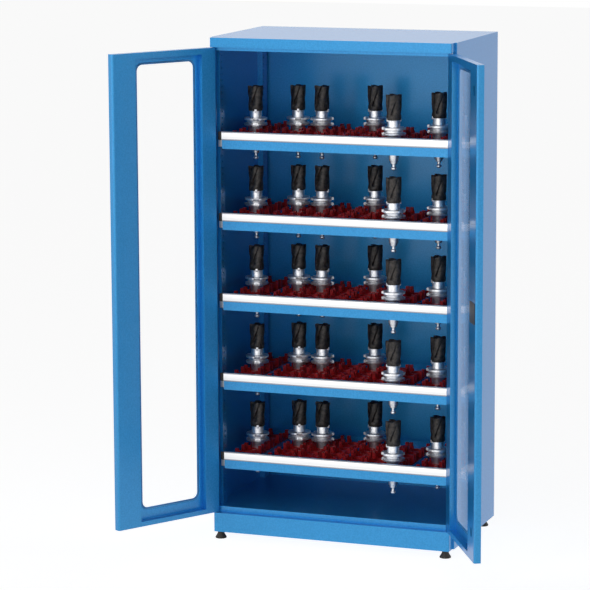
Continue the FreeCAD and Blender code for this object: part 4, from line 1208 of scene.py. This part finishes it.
@dataclass(frozen=True)
class Lamp:
    """One broad lamp that faces the cabinet.

    Attributes:
        name: Name of the lamp.
        place: Its middle in metres.
        size: Its width and height in metres.
        power: Its power in watts.
        aim: Point that it faces.
    """

    name: str
    place: tuple[float, float, float]
    size: tuple[float, float]
    power: float
    aim: tuple[float, float, float] = (0.0, -0.2, 1.0)

    def build(self) -> None:
        """Hang the lamp: its back axis runs from the aim to its place, and its width lies level."""
        data = bpy.data.lights.new(self.name, "AREA")
        data.shape = "RECTANGLE"
        data.size, data.size_y = self.size
        data.energy = self.power
        made = add_object(self.name, data)
        back = np.array(self.place) - np.array(self.aim)
        back /= np.linalg.norm(back)
        across = np.cross([0.0, 0.0, 1.0], back)
        across /= np.linalg.norm(across)
        matrix = np.eye(4)
        matrix[:3, 0], matrix[:3, 1], matrix[:3, 2] = across, np.cross(back, across), back
        matrix[:3, 3] = self.place
        made.matrix_world = matrix.T.tolist()


@dataclass
class Studio:
    """White studio: a floor, a plain world and broad soft lamps in front."""

    ambient: float = 0.05
    floor_size: float = 60.0
    floor_lit: str = "#D9D9D9"
    floor_seen: str = "#A0A0A0"
    floor_glow: float = 0.93
    lamps: tuple[Lamp, ...] = (
        Lamp("front_lamp", (0.3, -6.5, 1.4), (5.0, 3.2), 30.0),
        Lamp("left_lamp", (-4.4, -3.6, 2.2), (2.4, 2.8), 34.0),
        Lamp("high_lamp", (0.0, -5.6, 3.6), (2.6, 1.6), 28.0),
    )

    def build(self) -> None:
        """Set the world, the floor, the lamps and the plain view transform."""
        bpy.context.scene.view_settings.view_transform = "Standard"
        self.make_world()
        self.make_floor()
        for lamp in self.lamps:
            lamp.build()

    @staticmethod
    def seen_directly(tree: bpy.types.NodeTree) -> bpy.types.NodeSocket:
        """Give 1 for rays from the camera, a mirror or a pane, and 0 for the rest.

        Args:
            tree: Node tree that takes the nodes.

        Returns:
            The socket with that value.
        """
        path = add_node(tree, "ShaderNodeLightPath")
        either = path.outputs["Is Camera Ray"]
        for kind in ("Is Glossy Ray", "Is Transmission Ray"):
            pair = {0: either, 1: path.outputs[kind]}
            either = add_node(tree, "ShaderNodeMath", {"operation": "MAXIMUM"}, pair).outputs[0]
        return either

    def make_world(self) -> None:
        """Make a world that looks white and gives a low, even light."""
        world = bpy.data.worlds.new("white_studio")
        bpy.context.scene.world = world
        tree = empty_tree(world)
        white = linear("#FFFFFF")
        lit = add_node(tree, "ShaderNodeBackground", inputs={"Color": white, "Strength": self.ambient})
        seen = add_node(tree, "ShaderNodeBackground", inputs={"Color": white, "Strength": 1.0})
        mixed = add_node(
            tree,
            "ShaderNodeMixShader",
            inputs={0: self.seen_directly(tree), 1: lit.outputs[0], 2: seen.outputs[0]},
        )
        add_node(tree, "ShaderNodeOutputWorld", inputs={"Surface": mixed.outputs[0]})

    def make_floor(self) -> None:
        """Lay a pale floor that reads as white and keeps a soft shadow under the cabinet."""
        half = self.floor_size / 2
        corners = [(-half, -half, 0), (half, -half, 0), (half, half, 0), (-half, half, 0)]
        mesh = bpy.data.meshes.new("studio_floor")
        mesh.from_pydata(corners, [], [(0, 1, 2, 3)])
        material = bpy.data.materials.new("matt_white_floor")
        tree = empty_tree(material)
        plain = add_node(tree, "ShaderNodeBsdfDiffuse", inputs={"Color": linear(self.floor_lit)})
        faint = add_node(tree, "ShaderNodeBsdfDiffuse", inputs={"Color": linear(self.floor_seen)})
        shine = {"Color": linear("#FFFFFF"), "Strength": self.floor_glow}
        glow = add_node(tree, "ShaderNodeEmission", inputs=shine)
        both = add_node(tree, "ShaderNodeAddShader", inputs={0: faint.outputs[0], 1: glow.outputs[0]})
        mixed = add_node(
            tree,
            "ShaderNodeMixShader",
            inputs={0: self.seen_directly(tree), 1: plain.outputs[0], 2: both.outputs[0]},
        )
        add_node(tree, "ShaderNodeOutputMaterial", inputs={"Surface": mixed.outputs[0]})
        mesh.materials.append(material)
        add_object("studio_floor", mesh)


def main() -> None:
    """Dress the solids, add the finer pieces and set up the studio."""
    logging.basicConfig(level=logging.INFO, format="%(message)s")
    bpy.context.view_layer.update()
    shop = Shop()
    Shell().dress(shop)
    left = Leaf(Side.LEFT, open_angle=121.4)
    right = Leaf(Side.RIGHT, open_angle=119.1)
    for leaf in (left, right):
        leaf.dress(shop)
    Lock(right).dress(shop)
    strip = HandleStrip()
    tool = TaperTool()
    for number in SHELF_NUMBERS:
        Shelf(number).dress(shop, strip, tool)
    for corner in FOOT_CORNERS:
        Foot(corner).dress(shop)
    Studio().build()
    Camera().build()


if __name__ == "__main__":
    main()
